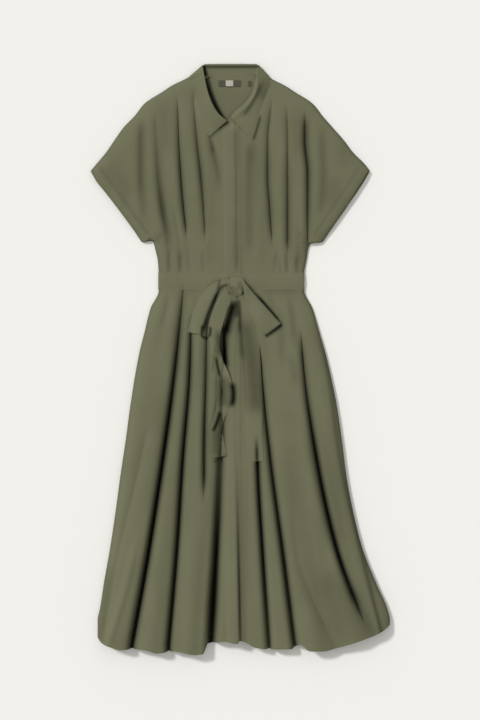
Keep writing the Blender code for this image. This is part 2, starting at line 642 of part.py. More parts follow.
def bodice_back():
    heights = np.array([BACK_CORNER] + [row for row in BODICE_ROWS if row < BACK_CORNER - 12], float)
    left = outline(heights, "left")
    right = outline(heights, "right")
    shares = np.linspace(0, 1, BACK_COLUMNS)[:, None]
    x = left + (right - left) * shares
    y = np.array(np.broadcast_to(heights, x.shape))
    y[:, 0] = back_neck(x[:, 0])
    made = cloth("bodice_back", np.stack([x, y, back_under(x, y)], axis=2))
    facing_up(made)


def skirt_back():
    heights = np.array(BACK_SKIRT_ROWS, float)
    down = (heights[0] - heights) / (heights[0] - HEM_LINE)
    ridges = [lambda y, ridge=ridge: back_ridge_path(ridge, y) for ridge in BACK_RIDGES]
    sides = [lambda y: outline(y, "left"), lambda y: outline(y, "right")]
    knots = [along_rows(path, heights, BACK_HEM_RISE) for path in sides[:1] + ridges + sides[1:]]
    x = between(knots, BACK_APART)
    y = heights[0] + (hem_height(x[:, -1:]) + BACK_HEM_RISE - heights[0]) * down
    made = cloth("skirt_back", np.stack([x, y, back_under(x, y)], axis=2))
    facing_up(made)


def placket():
    """The covered button band, sewn on the edge of the left front from the collar to the waist."""
    heights = np.linspace(NECK_END + 3, WAIST_LINE + BELT_WIDTH / 2 + 3, 17)
    shares = np.linspace(0, 1, 4)[:, None]
    x = front_edge(heights) - PLACKET_WIDTH * (1 - shares)
    y = np.broadcast_to(heights, x.shape)
    z = front_top(x, y, PIECE_REACH) + GAP
    made = cloth("placket", np.stack([x, y, z], axis=2), thickness=PLACKET_CLOTH)
    facing_up(made)


def belt_front():
    left = outline(WAIST_LINE, "left") - BELT_OVERHANG
    right = outline(WAIST_LINE, "right") + BELT_OVERHANG
    turn = np.linspace(0, 1, 31)
    closer_at_ends = np.sin(2 * np.pi * turn) * 0.12
    x = left + (right - left) * (turn - closer_at_ends)
    x, y = np.meshgrid(x, WAIST_LINE + BELT_WIDTH * np.linspace(-0.5, 0.5, 4), indexing="ij")
    ends = rounded(np.minimum(x - left, right - x), BELT_ROUND)
    z = LAYER + (front_top(x, y, BELT_REACH) - CLOTH) * ends
    inside = (x > left + 1) & (x < right - 1)
    z = np.where(inside, np.maximum(z, front_top(x, y, PIECE_REACH) + GAP), z)
    made = cloth("belt_front", np.stack([x, y, z], axis=2))
    facing_up(made)


def belt_back():
    left = outline(WAIST_LINE, "left") - BELT_OVERHANG
    right = outline(WAIST_LINE, "right") + BELT_OVERHANG
    x = np.linspace(left, right, 9)
    y = WAIST_LINE + BELT_WIDTH * np.linspace(-0.5, 0.5, 2)
    x, y = np.meshgrid(x, y, indexing="ij")
    made = cloth("belt_back", np.stack([x, y, np.zeros_like(x)], axis=2))
    facing_up(made)


def bow_loop(name, edges):
    """A ribbon that leaves the knot, turns back at its end and returns below itself."""
    closer_at_end = 1 - (1 - np.linspace(0, 1, 10)) ** 1.25
    reach = np.concatenate([closer_at_end, closer_at_end[-2::-1]])
    upper = np.concatenate([np.ones(9), [0.5], np.zeros(9)])
    outer = np.stack([flowing(column(edges, "reach"), column(edges, f"outer_{axis}"), reach) for axis in "xy"])
    inner = np.stack([flowing(column(edges, "reach"), column(edges, f"inner_{axis}"), reach) for axis in "xy"])
    open_most = np.sin(np.pi * np.clip(reach, 0, 1) ** 0.8) ** 0.7
    across = np.linspace(0, 1, 5)
    points = np.zeros((len(across), len(reach), 3))
    for row, side in enumerate(across):
        flat = outer + (inner - outer) * side
        low = front_top(flat[0], flat[1], TAIL_REACH) + LOOP_FLOOR
        low = np.maximum(low, KNOT_BASE + LOOP_OVER_KNOT_FOOT)
        hollow = (LOOP_OPEN * open_most + LOOP_PINCH) * (1 - LOOP_EDGES_DROP * (2 * side - 1) ** 2)
        points[row, :, 0] = flat[0]
        points[row, :, 1] = flat[1]
        points[row, :, 2] = low + hollow * upper
    cloth(name, points, side=0.0)


def belt_knot():
    """The knot, as a soft block whose band wraps over the belt."""
    bm = bmesh.new()
    bmesh.ops.create_uvsphere(bm, u_segments=20, v_segments=12, radius=1.0)
    for vert in bm.verts:
        x, y, z = vert.co
        square = sum(abs(part) ** KNOT_SQUARENESS for part in vert.co) ** (1 / KNOT_SQUARENESS)
        wrap = 1 + KNOT_WRAPS * np.cos(5 * np.pi * x / square)
        vert.co.x = (KNOT_MIDDLE[0] + x / square * KNOT_SIZE[0] / 2) * MM
        vert.co.y = (KNOT_MIDDLE[1] + y / square * KNOT_SIZE[1] / 2) * MM
        vert.co.z = (KNOT_BASE + KNOT_SIZE[2] / 2 + z / square * wrap * KNOT_SIZE[2] / 2) * MM
    mesh = bpy.data.meshes.new("belt_knot")
    bm.to_mesh(mesh)
    bm.free()
    mesh.shade_smooth()
    new_object("belt_knot", mesh, DRESS_CLOTH)


def tail(name, route):
    """A ribbon that lies on the skirt, turned partly on edge where it shows narrow."""
    station = np.linspace(0, 1, len(route))
    fine = np.linspace(0, 1, 27)
    x = flowing(station, column(route, "across"), fine)
    y = flowing(station, column(route, "height"), fine)
    shown = flowing(station, column(route, "shown"), fine)
    turn = flowing(station, column(route, "turn"), fine)
    tangent = np.stack([np.gradient(x), np.gradient(y)], axis=1)
    tangent /= np.linalg.norm(tangent, axis=1)[:, None]
    lean = np.sqrt(np.clip(1 - (shown / BELT_WIDTH) ** 2, 0, 1)) * turn
    across = np.linspace(-0.5, 0.5, 5)
    points = np.zeros((len(across), len(fine), 3))
    lying = front_top(x, y, TAIL_REACH)
    for row, side in enumerate(across):
        points[row, :, 0] = x - tangent[:, 1] * shown * side
        points[row, :, 1] = y + tangent[:, 0] * shown * side
        height = BELT_WIDTH * (np.abs(lean) * 0.5 + lean * side) * TAIL_LIFT
        local = front_top(points[row, :, 0], points[row, :, 1], PIECE_REACH)
        points[row, :, 2] = np.maximum(lying, local) + GAP + CLOTH / 2 + height
    cloth(name, points, side=0.0)


def collar_arrays():
    """The seam, the roll and the outer edge of the collar, with the edge's height taken from the front."""
    seam = np.array([(row.seam_x, row.seam_y, row.seam_z) for row in COLLAR_SECTIONS])
    roll = np.array([(row.roll_x, row.roll_y, row.roll_z) for row in COLLAR_SECTIONS])
    edge = np.array([(row.edge_x, row.edge_y, row.edge_z or 0.0) for row in COLLAR_SECTIONS])
    on_front = np.array([row.edge_z is ON_FRONT for row in COLLAR_SECTIONS])
    return seam, roll, edge, on_front


def collar_stand():
    seam, roll, _, _ = collar_arrays()
    top = seam + (roll - seam) * STAND_SHARE
    top[:, 2] = roll[:, 2] - STAND_DROP
    points = np.array([seam + (top - seam) * share for share in np.linspace(0, 1, 4)])
    cloth("collar_stand", points, side=0.0)


def collar_leaf():
    _, roll, edge, on_front = collar_arrays()
    behind = ~on_front & (edge[:, 2] < CLOTH)
    outward = edge - roll
    outward[:, 2] = 0
    outward /= np.linalg.norm(outward, axis=1)[:, None]
    points = np.zeros((len(LEAF_ROWS), len(roll), 3))
    for row, leaf in enumerate(LEAF_ROWS):
        points[row] = roll + (edge - roll) * leaf.share
        drop = ease(leaf.share, 0.0, 1.0)
        lying = front_top(points[row, :, 0], points[row, :, 1], PIECE_REACH) + GAP + CLOTH / 2 + LEAF_ROOM
        on_edge = np.maximum(lying, roll[:, 2] * (1 - drop) + lying * drop)
        under = roll[:, 2] + (edge[:, 2] - roll[:, 2]) * min(leaf.share / LEAF_TURNED, 1.0)
        folded = roll[:, 2] + (edge[:, 2] - roll[:, 2]) * leaf.share
        points[row, :, 2] = np.where(on_front, on_edge, np.where(behind, under, folded))
        points[row] -= outward * (leaf.bulge * behind)[:, None]
    cloth("collar_leaf", points, side=0.0)


def flat_patch(name, middle, size, lift, finish):
    """A small flat piece on the inside of the back neck."""
    x = middle[0] + size[0] * np.linspace(-0.5, 0.5, 4)
    y = middle[1] + size[1] * np.linspace(-0.5, 0.5, 3)
    x, y = np.meshgrid(x, y, indexing="ij")
    z = back_under(x, y) + CLOTH + lift
    made = cloth(name, np.stack([x, y, z], axis=2), thickness=LABEL_THICK, finish=finish)
    facing_up(made)


def knot_base():
    """The height of the underside of the knot, which lies on the belt and on the tails where they leave it."""
    foot = np.linspace(-0.4, 0.4, 5)
    x, y = np.meshgrid(KNOT_MIDDLE[0] + KNOT_SIZE[0] * foot, WAIST_LINE + BELT_WIDTH * foot)
    return float(front_top(x, y, BELT_REACH).max()) + 2 * LAYER


KNOT_BASE = knot_base()


def main():
    for old in list(bpy.data.objects):
        bpy.data.objects.remove(old, do_unlink=True)
    bpy.context.scene.collection.children.link(bpy.data.collections.new("shirt_dress"))
    belt_back()
    skirt_back()
    bodice_back()
    for side in ("left", "right"):
        skirt_front(side)
        bodice_front(side)
    placket()
    collar_stand()
    collar_leaf()
    flat_patch("neck_label", LABEL_MIDDLE, LABEL_SIZE, GAP, LABEL_CLOTH)
    flat_patch("label_patch", PATCH_MIDDLE, PATCH_SIZE, GAP + LABEL_THICK + GAP, PATCH_CLOTH)
    flat_patch("size_tab", SIZE_TAB_MIDDLE, SIZE_TAB_SIZE, GAP, LABEL_CLOTH)
    belt_front()
    belt_knot()
    bow_loop("bow_loop_left", LEFT_LOOP)
    bow_loop("bow_loop_right", RIGHT_LOOP)
    tail("tie_tail_left", LEFT_TAIL)
    tail("tie_tail_right", RIGHT_TAIL)


main()
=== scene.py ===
from collections import namedtuple

import bpy
import numpy as np
from mathutils import Matrix, Vector


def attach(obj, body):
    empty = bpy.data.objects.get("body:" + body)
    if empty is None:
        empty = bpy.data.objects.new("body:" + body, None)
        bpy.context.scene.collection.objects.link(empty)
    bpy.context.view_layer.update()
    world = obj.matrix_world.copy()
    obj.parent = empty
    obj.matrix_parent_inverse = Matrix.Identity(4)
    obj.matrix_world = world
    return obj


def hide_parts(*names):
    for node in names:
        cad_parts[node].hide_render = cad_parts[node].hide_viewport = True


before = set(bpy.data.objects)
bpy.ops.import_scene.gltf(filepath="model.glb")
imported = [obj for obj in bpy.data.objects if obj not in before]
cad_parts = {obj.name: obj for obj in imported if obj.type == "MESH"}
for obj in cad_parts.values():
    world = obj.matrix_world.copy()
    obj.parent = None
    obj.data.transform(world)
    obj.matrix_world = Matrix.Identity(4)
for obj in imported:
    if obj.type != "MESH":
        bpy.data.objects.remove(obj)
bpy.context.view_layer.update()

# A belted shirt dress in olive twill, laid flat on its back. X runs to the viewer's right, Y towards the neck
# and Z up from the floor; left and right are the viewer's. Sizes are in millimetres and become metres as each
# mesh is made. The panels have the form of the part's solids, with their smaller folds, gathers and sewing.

MM = 0.001

# ---------------------------------------------------------------- sizes of the laid dress

CLOTH = 1.2  # room that one layer of cloth takes
GAP = 0.35  # between two layers
LAYER = CLOTH + GAP
WAIST_LINE = 162.5
HEM_LINE = -590.0
BELT_WIDTH = 35.0
BELT_OVERHANG = 1.6  # of the belt past the waist, at either end
PLACKET_WIDTH = 26.0

# The left front laps over the right one, which dives below it. The underlap is narrower at the pleat's top.
UNDERLAP = 13.0
PLEAT_ROOM = 5.0
PLEAT_TOP = 95.0
PLEAT_NEAR, PLEAT_FAR = 20.0, 60.0
UNDER_ROOM = 0.15
OVERLAP_LIFT = 2.4
OVERLAP_PAST_EDGE = (2.0, 13.0)
OVERLAP_PAST_UNDERLAP = (4.0, 16.0)
DIVE = (1.0, 9.0)
EDGE_STRIP = 3.0
EDGE_DROP = 0.75

# Heights at which the necklines start and end, and the narrow tips of the fronts on the shoulders.
NECK_END = 486.0
RIGHT_NECK_END = 497.0
NECK_CORNER = {"left": 581.0, "right": 579.0}
NECK_ALLOWANCE = 1.0
SHOULDER_TOP = 591.0
SHOULDER_TIP = 5.0
SHOULDER_TIP_SLANT = 0.4
BACK_CORNER = 588.0
SEAM_UNDER = 0.4  # of the back panel, up to the collar's stand
BACK_HEM_RISE = 8.0  # of the back's hem above the front's

# How the fronts come down to the back: in a round along the sides, in part at the mouths of the sleeves, and
# to a small share of their rise at the seam of the collar.
SIDE_ROUND = 30.0
SHOULDER_ROUND = 48.0
SHOULDER_START = (380.0, 420.0)
SLEEVE_MOUTH = 0.28
MOUTH_LOW, MOUTH_HIGH = (250.0, 275.0), (388.0, 376.0)
NECK_LEFT = 0.12
NECK_REACH = (2.0, 26.0)
# A little of the back shows past the front of the right sleeve.
RIGHT_SLEEVE_SHOWS = 5.0
SHOWS_LOW, SHOWS_HIGH = (310.0, 350.0), (400.0, 385.0)
# The cloth is drawn up where the left sleeve meets the side.
NOTCH_MIDDLE, NOTCH_SIZE, NOTCH_RISE = (-181.0, 241.0), (9.0, 14.0), 9.0
# The back lies over the belt's back and the collar's back, and comes down from them in slopes.
BELT_SLOPE = (3.0, 26.0)
COLLAR_SLOPE = (525.0, 556.0)

# The shape of a valley: how pointed it is, how round a shallow one is, and how full the ridges beside it are.
VALLEY_POINT = 0.1
VALLEY_LEAST = 0.04
SHALLOW_ROUND = 40.0
RIDGE_FULLNESS = 2.5
BODICE_FADE, SKIRT_FADE = 45.0, 70.0  # lengths over which a valley begins and ends
CREASES_FULL = 4.0  # rise from which the small creases have their full height
STEEPEST = 1.55
LEFT_SIDE_PAINTED_SHADE, RIGHT_SIDE_PAINTED_SHADE = 0.20, 0.36  # shares of the light lost where the sides turn under, painted into the colour as shade
SIDE_SHADE_REACH = 4.5

# Thickness of what is seen: a thin twill, and the doubled or stiffened pieces.
TWILL = 0.7
DOUBLED = 1.1
BELT_CLOTH = 0.5
BAND_CLOTH = 0.3
LEAF_CLOTH = 0.6
LABEL_CLOTH = 0.5
LABEL_THICK = 1.0  # room that a label takes
SHARP_EDGE = 60.0  # degrees between faces from which an edge of the cloth looks sharp

Edge = namedtuple("Edge", "height left right")

SHOULDER_EDGE = (
    Edge(592.0, -80.0, 40.0),
    Edge(586.0, -93.0, 49.0),
    Edge(575.0, -113.5, 66.5),
    Edge(562.5, -139.0, 91.5),
    Edge(550.0, -158.0, 111.0),
    Edge(526.0, -195.0, 148.0),
    Edge(501.0, -215.0, 168.0),
    Edge(477.0, -238.0, 189.0),
    Edge(452.0, -256.0, 211.0),
    Edge(427.0, -273.0, 230.0),
    Edge(403.0, -293.0, 254.0),
    Edge(388.0, -305.5, 266.5),
)
SLEEVE_EDGE = (
    Edge(388.0, -305.5, 266.5),
    Edge(366.0, -293.0, 254.0),
    Edge(341.0, -272.5, 237.5),
    Edge(304.0, -244.0, 211.0),
    Edge(267.0, -217.0, 185.0),
    Edge(243.0, -201.0, 169.0),
)
SIDE_EDGE = (
    Edge(240.0, -179.0, 144.0),
    Edge(230.0, -174.0, 139.5),
    Edge(206.0, -168.0, 135.5),
    Edge(183.0, -166.0, 131.0),
    Edge(WAIST_LINE, -165.5, 130.0),
)
SKIRT_EDGE = (
    Edge(WAIST_LINE, -165.5, 130.0),
    Edge(142.0, -166.0, 131.0),
    Edge(107.0, -182.5, 147.5),
    Edge(58.0, -195.0, 162.0),
    Edge(9.0, -207.0, 176.0),
    Edge(-89.0, -223.5, 197.0),
    Edge(-163.0, -233.5, 208.0),
    Edge(-237.0, -244.5, 217.5),
    Edge(-311.0, -254.5, 231.5),
    Edge(-384.0, -265.5, 250.0),
    Edge(-458.0, -278.5, 279.0),
    Edge(-507.0, -286.0, 300.5),
    Edge(-532.0, -291.0, 306.5),
    Edge(HEM_LINE, -291.0, 307.0),
)

Hem = namedtuple("Hem", "across height")

HEM_CURVE = (
    Hem(-291.0, -566.0),
    Hem(-282.0, -577.0),
    Hem(-264.0, -584.0),
    Hem(-242.0, -590.0),
    Hem(-217.0, -588.5),
    Hem(-193.0, -590.0),
    Hem(-168.0, -597.0),
    Hem(-133.0, -593.0),
    Hem(-90.0, -600.0),
    Hem(-76.0, -599.0),
    Hem(-66.0, -579.0),
    Hem(-29.0, -573.5),
    Hem(-6.0, -577.0),
    Hem(0.0, -571.0),
    Hem(12.0, -575.0),
    Hem(31.0, -585.0),
    Hem(61.0, -589.0),
    Hem(105.0, -588.5),
    Hem(124.0, -579.5),
    Hem(142.0, -592.0),
    Hem(170.0, -592.5),
    Hem(201.0, -585.5),
    Hem(234.0, -575.0),
    Hem(266.0, -564.0),
    Hem(291.0, -552.0),
    Hem(307.0, -540.0),
)

# Heights of the raised fronts above the back panels, along the dress.
Rise = namedtuple("Rise", "height rise")

RISES = (
    Rise(600.0, 3.0),
    Rise(575.0, 4.5),
    Rise(560.0, 6.0),
    Rise(525.0, 9.0),
    Rise(490.0, 11.0),
    Rise(420.0, 12.5),
    Rise(300.0, 12.0),
    Rise(240.0, 10.0),
    Rise(208.0, 7.0),
    Rise(186.0, 4.4),
    Rise(WAIST_LINE, 4.0),
    Rise(140.0, 4.6),
    Rise(112.0, 9.0),
    Rise(50.0, 14.0),
    Rise(-100.0, 17.0),
    Rise(-300.0, 20.0),
    Rise(-600.0, 24.0),
)

# A fold is a valley between two ridges. It passes through one X at each station of its path, is deepest from
# start to end, and its ridges reach their full height at width from its middle. Depth is a share of the rise,
# and slit and hem_slit are half the width of its floor at its start and its end. Where cloth lies against
# cloth, hardly any light comes in, and that shade is painted into the cloth's colour: dark is the share of
# the light painted out at each station, and spread how far that painted shade reaches.
Fold = namedtuple("Fold", "name path start end width depth slit hem_slit dark spread")
BODICE_STATIONS = (524.0, 452.0, 380.0, 309.0, 247.0, 196.0)
LEFT_BODICE_FOLDS = (
    Fold("sleeve_left", (-196, -203, -203, -197, -189, -158), 505, 265, 20, 0.34, 0, 0,
         (0.1, 0.4, 0.42, 0.2, 0.1, 0), 9),
    Fold("outer_left", (-173, -170, -166.5, -158.5, -147, -144), 520, 205, 17, 0.62, 0, 0.3,
         (0, 0.2, 0.45, 0.65, 0.3, 0.1), 9),
    Fold("gather_left", (-149, -148, -144, -134, -125, -122), 330, 172, 15, 0.55, 0, 0,
         (0, 0, 0, 0.05, 0.1, 0.15), 5),
    Fold("dart_left", (-127, -125, -121, -115, -108, -104), 550, 238, 17, 0.92, 0.2, 1.2,
         (0, 0.25, 0.52, 0.42, 0.15, 0), 8),
    Fold("inner_left", (-94, -88, -80, -74, -71, -71.5), 572, 230, 17, 0.86, 0.2, 0.8,
         (0, 0.3, 0.5, 0.28, 0.1, 0), 8),
    Fold("collar_left", (-70, -62, -45, -41, -41, -44), 470, 330, 18, 0.30, 0, 0,
         (0.1, 0.42, 0.28, 0.05, 0, 0), 7),
)
RIGHT_BODICE_FOLDS = (
    Fold("inner_right", (22, 22.5, 20, 19, 20, 21), 460, 205, 25, 0.25, 0, 0,
         (0.4, 0.42, 0.28, 0.24, 0.2, 0.1), 11),
    Fold("dart_right", (65, 57.5, 57, 61.5, 66, 73), 545, 222, 17, 0.88, 0, 0.8,
         (0.05, 0.2, 0.45, 0.42, 0.2, 0.1), 8.5),
    Fold("outer_right", (96, 98, 98, 98, 98, 102), 530, 205, 16, 0.86, 0, 0.8,
         (0.1, 0.12, 0.3, 0.46, 0.45, 0.1), 8.5),
    Fold("gather_right", (114, 116, 119, 119, 119, 120), 300, 172, 14, 0.40, 0, 0,
         (0.1, 0.05, 0, 0, 0.05, 0.3), 5),
    Fold("side_right", (134, 133, 139, 139, 139, 130), 520, 205, 16, 0.92, 0.6, 0.6,
         (0.3, 0.66, 0.6, 0.5, 0.22, 0.2), 8.5),
    Fold("sleeve_right", (170, 169, 171.5, 167, 160, 133), 490, 280, 20, 0.36, 0, 0,
         (0, 0.26, 0.28, 0.24, 0.2, 0.2), 9.5),
)
SKIRT_STATIONS = (145.0, -20.0, -204.0, -388.0, -583.0)
LEFT_SKIRT_FOLDS = (
    Fold("sweep_left", (-139, -166, -202, -246, -283), -110, -700, 36, 0.42, 0, 0,
         (0, 0, 0, 0, 0), 9),
    Fold("side_left", (-115.5, -133, -157.5, -186, -221), 215, -700, 17, 1.0, 1.2, 3.0,
         (0.22, 0.84, 0.97, 0.96, 0.92), 8.5),
    Fold("outer_left", (-98, -102.5, -117, -129, -146), 110, -700, 16, 1.0, 1.0, 2.8,
         (0, 0.70, 0.88, 0.88, 0.84), 7.5),
    Fold("inner_left", (-66, -69, -73, -73, -72), 115, -300, 15, 0.86, 0.6, 0.6,
         (0, 0.52, 0.75, 0, 0), 7),
    Fold("pleat", (-18, -34, -40, -48.5, -60), 130, -700, 19, 1.0, 3.0, 6.5,
         (0, 0.8, 0.5, 0.985, 0.96), 9),
)
RIGHT_SKIRT_FOLDS = (
    Fold("short_right", (29, 33, 36, 46, 59.5), -150, -700, 15, 0.98, 1.2, 2.8,
         (0, 0.3, 0.9, 0.88, 0.4), 7),
    Fold("inner_right", (35.5, 44, 62.5, 87, 112), 50, -700, 16, 1.0, 0.8, 2.8,
         (0, 0.35, 0.68, 0.8, 0.6), 7.5),
    Fold("sweep_right", (82, 90, 100, 116, 192), -300, -700, 36, 0.42, 0, 0,
         (0.1, 0.15, 0, 0, 0.1), 9),
    Fold("outer_right", (120, 131, 157.5, 198.5, 274), 75, -545, 17, 1.0, 0.8, 2.8,
         (0, 0.45, 0.92, 0.94, 0.0), 8.5),
    Fold("edge_right", (124, 178, 204, 246, 296), 80, -620, 10, 0.22, 0, 0,
         (0, 0.3, 0.35, 0.42, 0.55), 5),
)
BODICE_FOLDS = LEFT_BODICE_FOLDS + RIGHT_BODICE_FOLDS
SKIRT_FOLDS = LEFT_SKIRT_FOLDS + RIGHT_SKIRT_FOLDS

# The edge of the left front, which crosses the dress from the neck to the hem.
FrontEdge = namedtuple("FrontEdge", "height across")
FRONT_EDGES = (
    FrontEdge(500.0, -11.0),
    FrontEdge(380.0, -8.0),
    FrontEdge(180.0, -6.5),
    FrontEdge(-20.0, -7.0),
    FrontEdge(-204.0, -8.0),
    FrontEdge(-388.0, -5.0),
    FrontEdge(-600.0, 0.0),
)

# Ridges of the back of the skirt, where it lifts a little off the surface below the ridges of the front.
BackRidge = namedtuple("BackRidge", "name hip hem width lift")
BACK_RIDGES = (
    BackRidge("back_left", -120, -185, 26, 4.5),
    BackRidge("back_inner_left", -60, -106, 24, 5.0),
    BackRidge("back_middle", 0, -8, 24, 3.5),
    BackRidge("back_inner_right", 62, 152, 30, 5.0),
    BackRidge("back_right", 110, 240, 28, 4.5),
)
BACK_RIDGE_TOP = 20.0
BACK_RIDGE_FULL = -420.0

# Smaller creases: soft troughs, and ridges where the height is positive, along a line that bows to its left.
# Dark is the share of the light that is lost in its middle, painted into the cloth's colour as shade, and
# fade the share of its length at either end over which it comes in.
Crease = namedtuple("Crease", "name from_x from_y to_x to_y bow width height dark fade", defaults=(0.35,))
SLEEVE_HEM_LEFT = ((-287, 396), (-186, 257))
SLEEVE_HEM_RIGHT = ((244, 393), (153, 257))
FRONT_CREASES = (
    Crease("waist_gather_left_1", -143, 172, -144, 232, 1, 5.0, -2.2, 0.20),
    Crease("waist_gather_left_2", -121, 172, -122, 226, 0, 5.0, -2.0, 0.18),
    Crease("waist_gather_left_3", -101, 172, -105, 238, 1, 4.5, -0.8, 0.05),
    Crease("waist_gather_left_4", -72, 174, -76, 232, 1, 5.0, -1.0, 0.09),
    Crease("waist_gather_right_1", 70, 174, 78, 228, 1, 5.0, -1.0, 0.09),
    Crease("waist_gather_right_2", 86, 172, 80, 214, 1, 4.0, -1.0, 0.09),
    Crease("waist_gather_right_3", 99, 172, 96, 226, 1, 4.5, -2.0, 0.18),
    Crease("waist_gather_right_4", 118, 172, 116, 218, 0, 4.5, -2.0, 0.18),
    Crease("side_pull_left", -172, 236, -150, 262, 3, 7.0, -1.6, 0.13),
    Crease("side_pull_right", 140, 238, 122, 268, 3, 7.0, -1.4, 0.12),
    Crease("sleeve_hem_left", *SLEEVE_HEM_LEFT[0], *SLEEVE_HEM_LEFT[1], 0, 4.0, -0.7, 0.13, 0.03),
    Crease("sleeve_hem_right", *SLEEVE_HEM_RIGHT[0], *SLEEVE_HEM_RIGHT[1], 0, 4.0, -0.7, 0.10, 0.03),
    Crease("sleeve_sweep_left", -246, 392, -236, 300, 8, 14.0, -1.2, 0.1),
    Crease("sleeve_sweep_right", 214, 388, 190, 300, -8, 16.0, -1.4, 0.12),
    Crease("sleeve_fan_left", -262, 380, -215, 285, -6, 9.0, 1.0, 0.0),
    Crease("shoulder_soft_left", -158, 540, -150, 400, 3, 16.0, -1.2, 0.1),
    Crease("shoulder_soft_right", 112, 520, 118, 390, 3, 13.0, -1.0, 0.09),
    Crease("chest_soft_left", -58, 470, -56, 260, 2, 12.0, -0.9, 0.08),
    Crease("chest_soft_right", 36, 480, 42, 240, 2, 11.0, -0.8, 0.08),
    Crease("hip_gather_left_1", -146, 142, -164, 60, 3, 7.0, -1.6, 0.13),
    Crease("hip_gather_left_2", -88, 142, -90, 40, 2, 8.0, -1.4, 0.12),
    Crease("hip_gather_right_1", 62, 142, 70, 50, 2, 8.0, -1.2, 0.1),
    Crease("hip_gather_right_2", 100, 142, 112, 20, 3, 8.0, -1.8, 0.15),
    Crease("hip_soft_right", 82, 110, 88, -20, 2, 9.0, -1.4, 0.12),
    Crease("thigh_soft_right", 101, 20, 118, -60, 2, 9.0, -1.6, 0.13),
    Crease("panel_soft_left", -150, -40, -188, -330, 5, 15.0, -1.5, 0.12),
    Crease("panel_soft_inner_left", -92, -120, -98, -560, 4, 13.0, -1.0, 0.05),
    Crease("panel_soft_middle", 12, -200, 18, -560, 3, 11.0, -0.5, 0.0),
    Crease("panel_soft_right", 96, -150, 140, -520, -6, 17.0, -1.8, 0.15),
    Crease("hem_fold_left", -208, -350, -286, -625, 6, 7.5, 4.5, 0, 0.30),
    Crease("hem_fold_left_slope", -194, -350, -270, -625, 6, 24.0, 5.5, 0, 0.30),
    Crease("hem_side_left", -262, -395, -294, -640, 0, 8.0, 0, 0.20, 0.35),
    Crease("hip_shade_right", 42, 148, 122, 146, 0, 12.0, 0, 0.20, 0.20),
    Crease("hip_shade_left", -112, 146, -70, 148, 0, 11.0, 0, 0.12, 0.20),
    Crease("outer_right_end", 212, -440, 284, -590, 0, 13.0, 0, 0.32, 0.30),
    Crease("panel_shade_right", 160, -400, 240, -600, 0, 52.0, 0, 0.20),
    Crease("outer_right_slope", 132, -120, 186, -388, -2, 9.0, 0, 0.26, 0.25),
    Crease("sleeve_shade_left", -258, 446, -264, 340, 0, 20.0, 0, 0.10),
    Crease("sleeve_shade_right", 216, 446, 206, 380, 0, 18.0, 0, 0.10),
    Crease("pleat_mouth", -50, -400, -61, -600, 0, 11.0, 0, 0.85, 0.7),
    Crease("panel_shade_side", 150, -290, 190, -420, 0, 30.0, 0, 0.10),
    Crease("panel_soft_side_right", 176, -120, 226, -420, -6, 15.0, -1.4, 0.12),
)
BACK_CREASES = (
    Crease("back_waist_gather_1", -120, 184, -118, 300, 2, 9.0, 1.6, 0.0),
    Crease("back_waist_gather_2", -70, 184, -66, 330, 3, 10.0, 1.8, 0.0),
    Crease("back_waist_gather_3", -16, 184, -22, 310, 2, 9.0, 1.4, 0.0),
    Crease("back_waist_gather_4", 38, 184, 44, 335, 3, 10.0, 1.8, 0.0),
    Crease("back_waist_gather_5", 92, 184, 90, 290, 2, 9.0, 1.5, 0.0),
    Crease("back_blade_left", -150, 470, -120, 330, 10, 14.0, 1.4, 0.0),
    Crease("back_blade_right", 112, 470, 84, 330, -10, 14.0, 1.4, 0.0),
    Crease("back_hip_1", -132, 140, -160, -10, 3, 10.0, 1.6, 0.0),
    Crease("back_hip_2", -80, 140, -96, -60, 3, 10.0, 2.0, 0.0),
    Crease("back_hip_3", -24, 140, -28, -50, 2, 9.0, 1.6, 0.0),
    Crease("back_hip_4", 40, 140, 52, -70, -3, 10.0, 2.0, 0.0),
    Crease("back_hip_5", 96, 140, 124, -20, -3, 10.0, 1.6, 0.0),
)

# Painted shadows: narrow dark lines painted into the cloth's colour where one piece of cloth lies close over
# another.
BOW_PAINTED_SHADE = (
    Crease("loop_right_high", 6, 166, 60, 104, 0.8, 2.6, 0, 0.55, 0.30),
    Crease("loop_right_edge", 30, 139, 87, 73, 0.6, 3.0, 0, 0.94, 0.25),
    Crease("loop_right_end", 86, 74, 51, 49, 1.5, 3.8, 0, 0.97, 0.08),
    Crease("loop_left_high", -41, 168, -47, 134, 0, 2.6, 0, 0.55, 0.20),
    Crease("loop_left_low", -45, 141, -77, 58, -2.0, 4.0, 0, 0.96, 0.12),
    Crease("curl_left", -77, 72, -79, 52, 0, 2.4, 0, 0.88, 0.10),
    Crease("curl_bottom", -80, 51, -64, 45, -1.5, 2.8, 0, 0.90, 0.10),
    Crease("curl_right", -61, 70, -63, 47, 1.5, 2.8, 0, 0.88, 0.15),
    Crease("strip_line", -5, 134, -1, 54, 2.5, 4.0, 0, 0.62, 0.25),
    Crease("band_high", -2, 88, 6, -4, 0, 6.5, 0, 0.36, 0.25),
    Crease("band_low", 9, 92, 34, -114, 3.0, 18.0, 0, 0.42, 0.16),
    Crease("strip_shade", -9, 126, -6, 84, 0, 8.0, 0, 0.58, 0.25),
)
GAP_PAINTED_SHADE = (
    Crease("gap_high", -13, 124, -31.5, 50, 1.0, 10.0, 0, 0.985, 0.18),
    Crease("gap_low", -33, 76, -26, -16, -3.5, 5.5, 0, 0.97, 0.15),
)
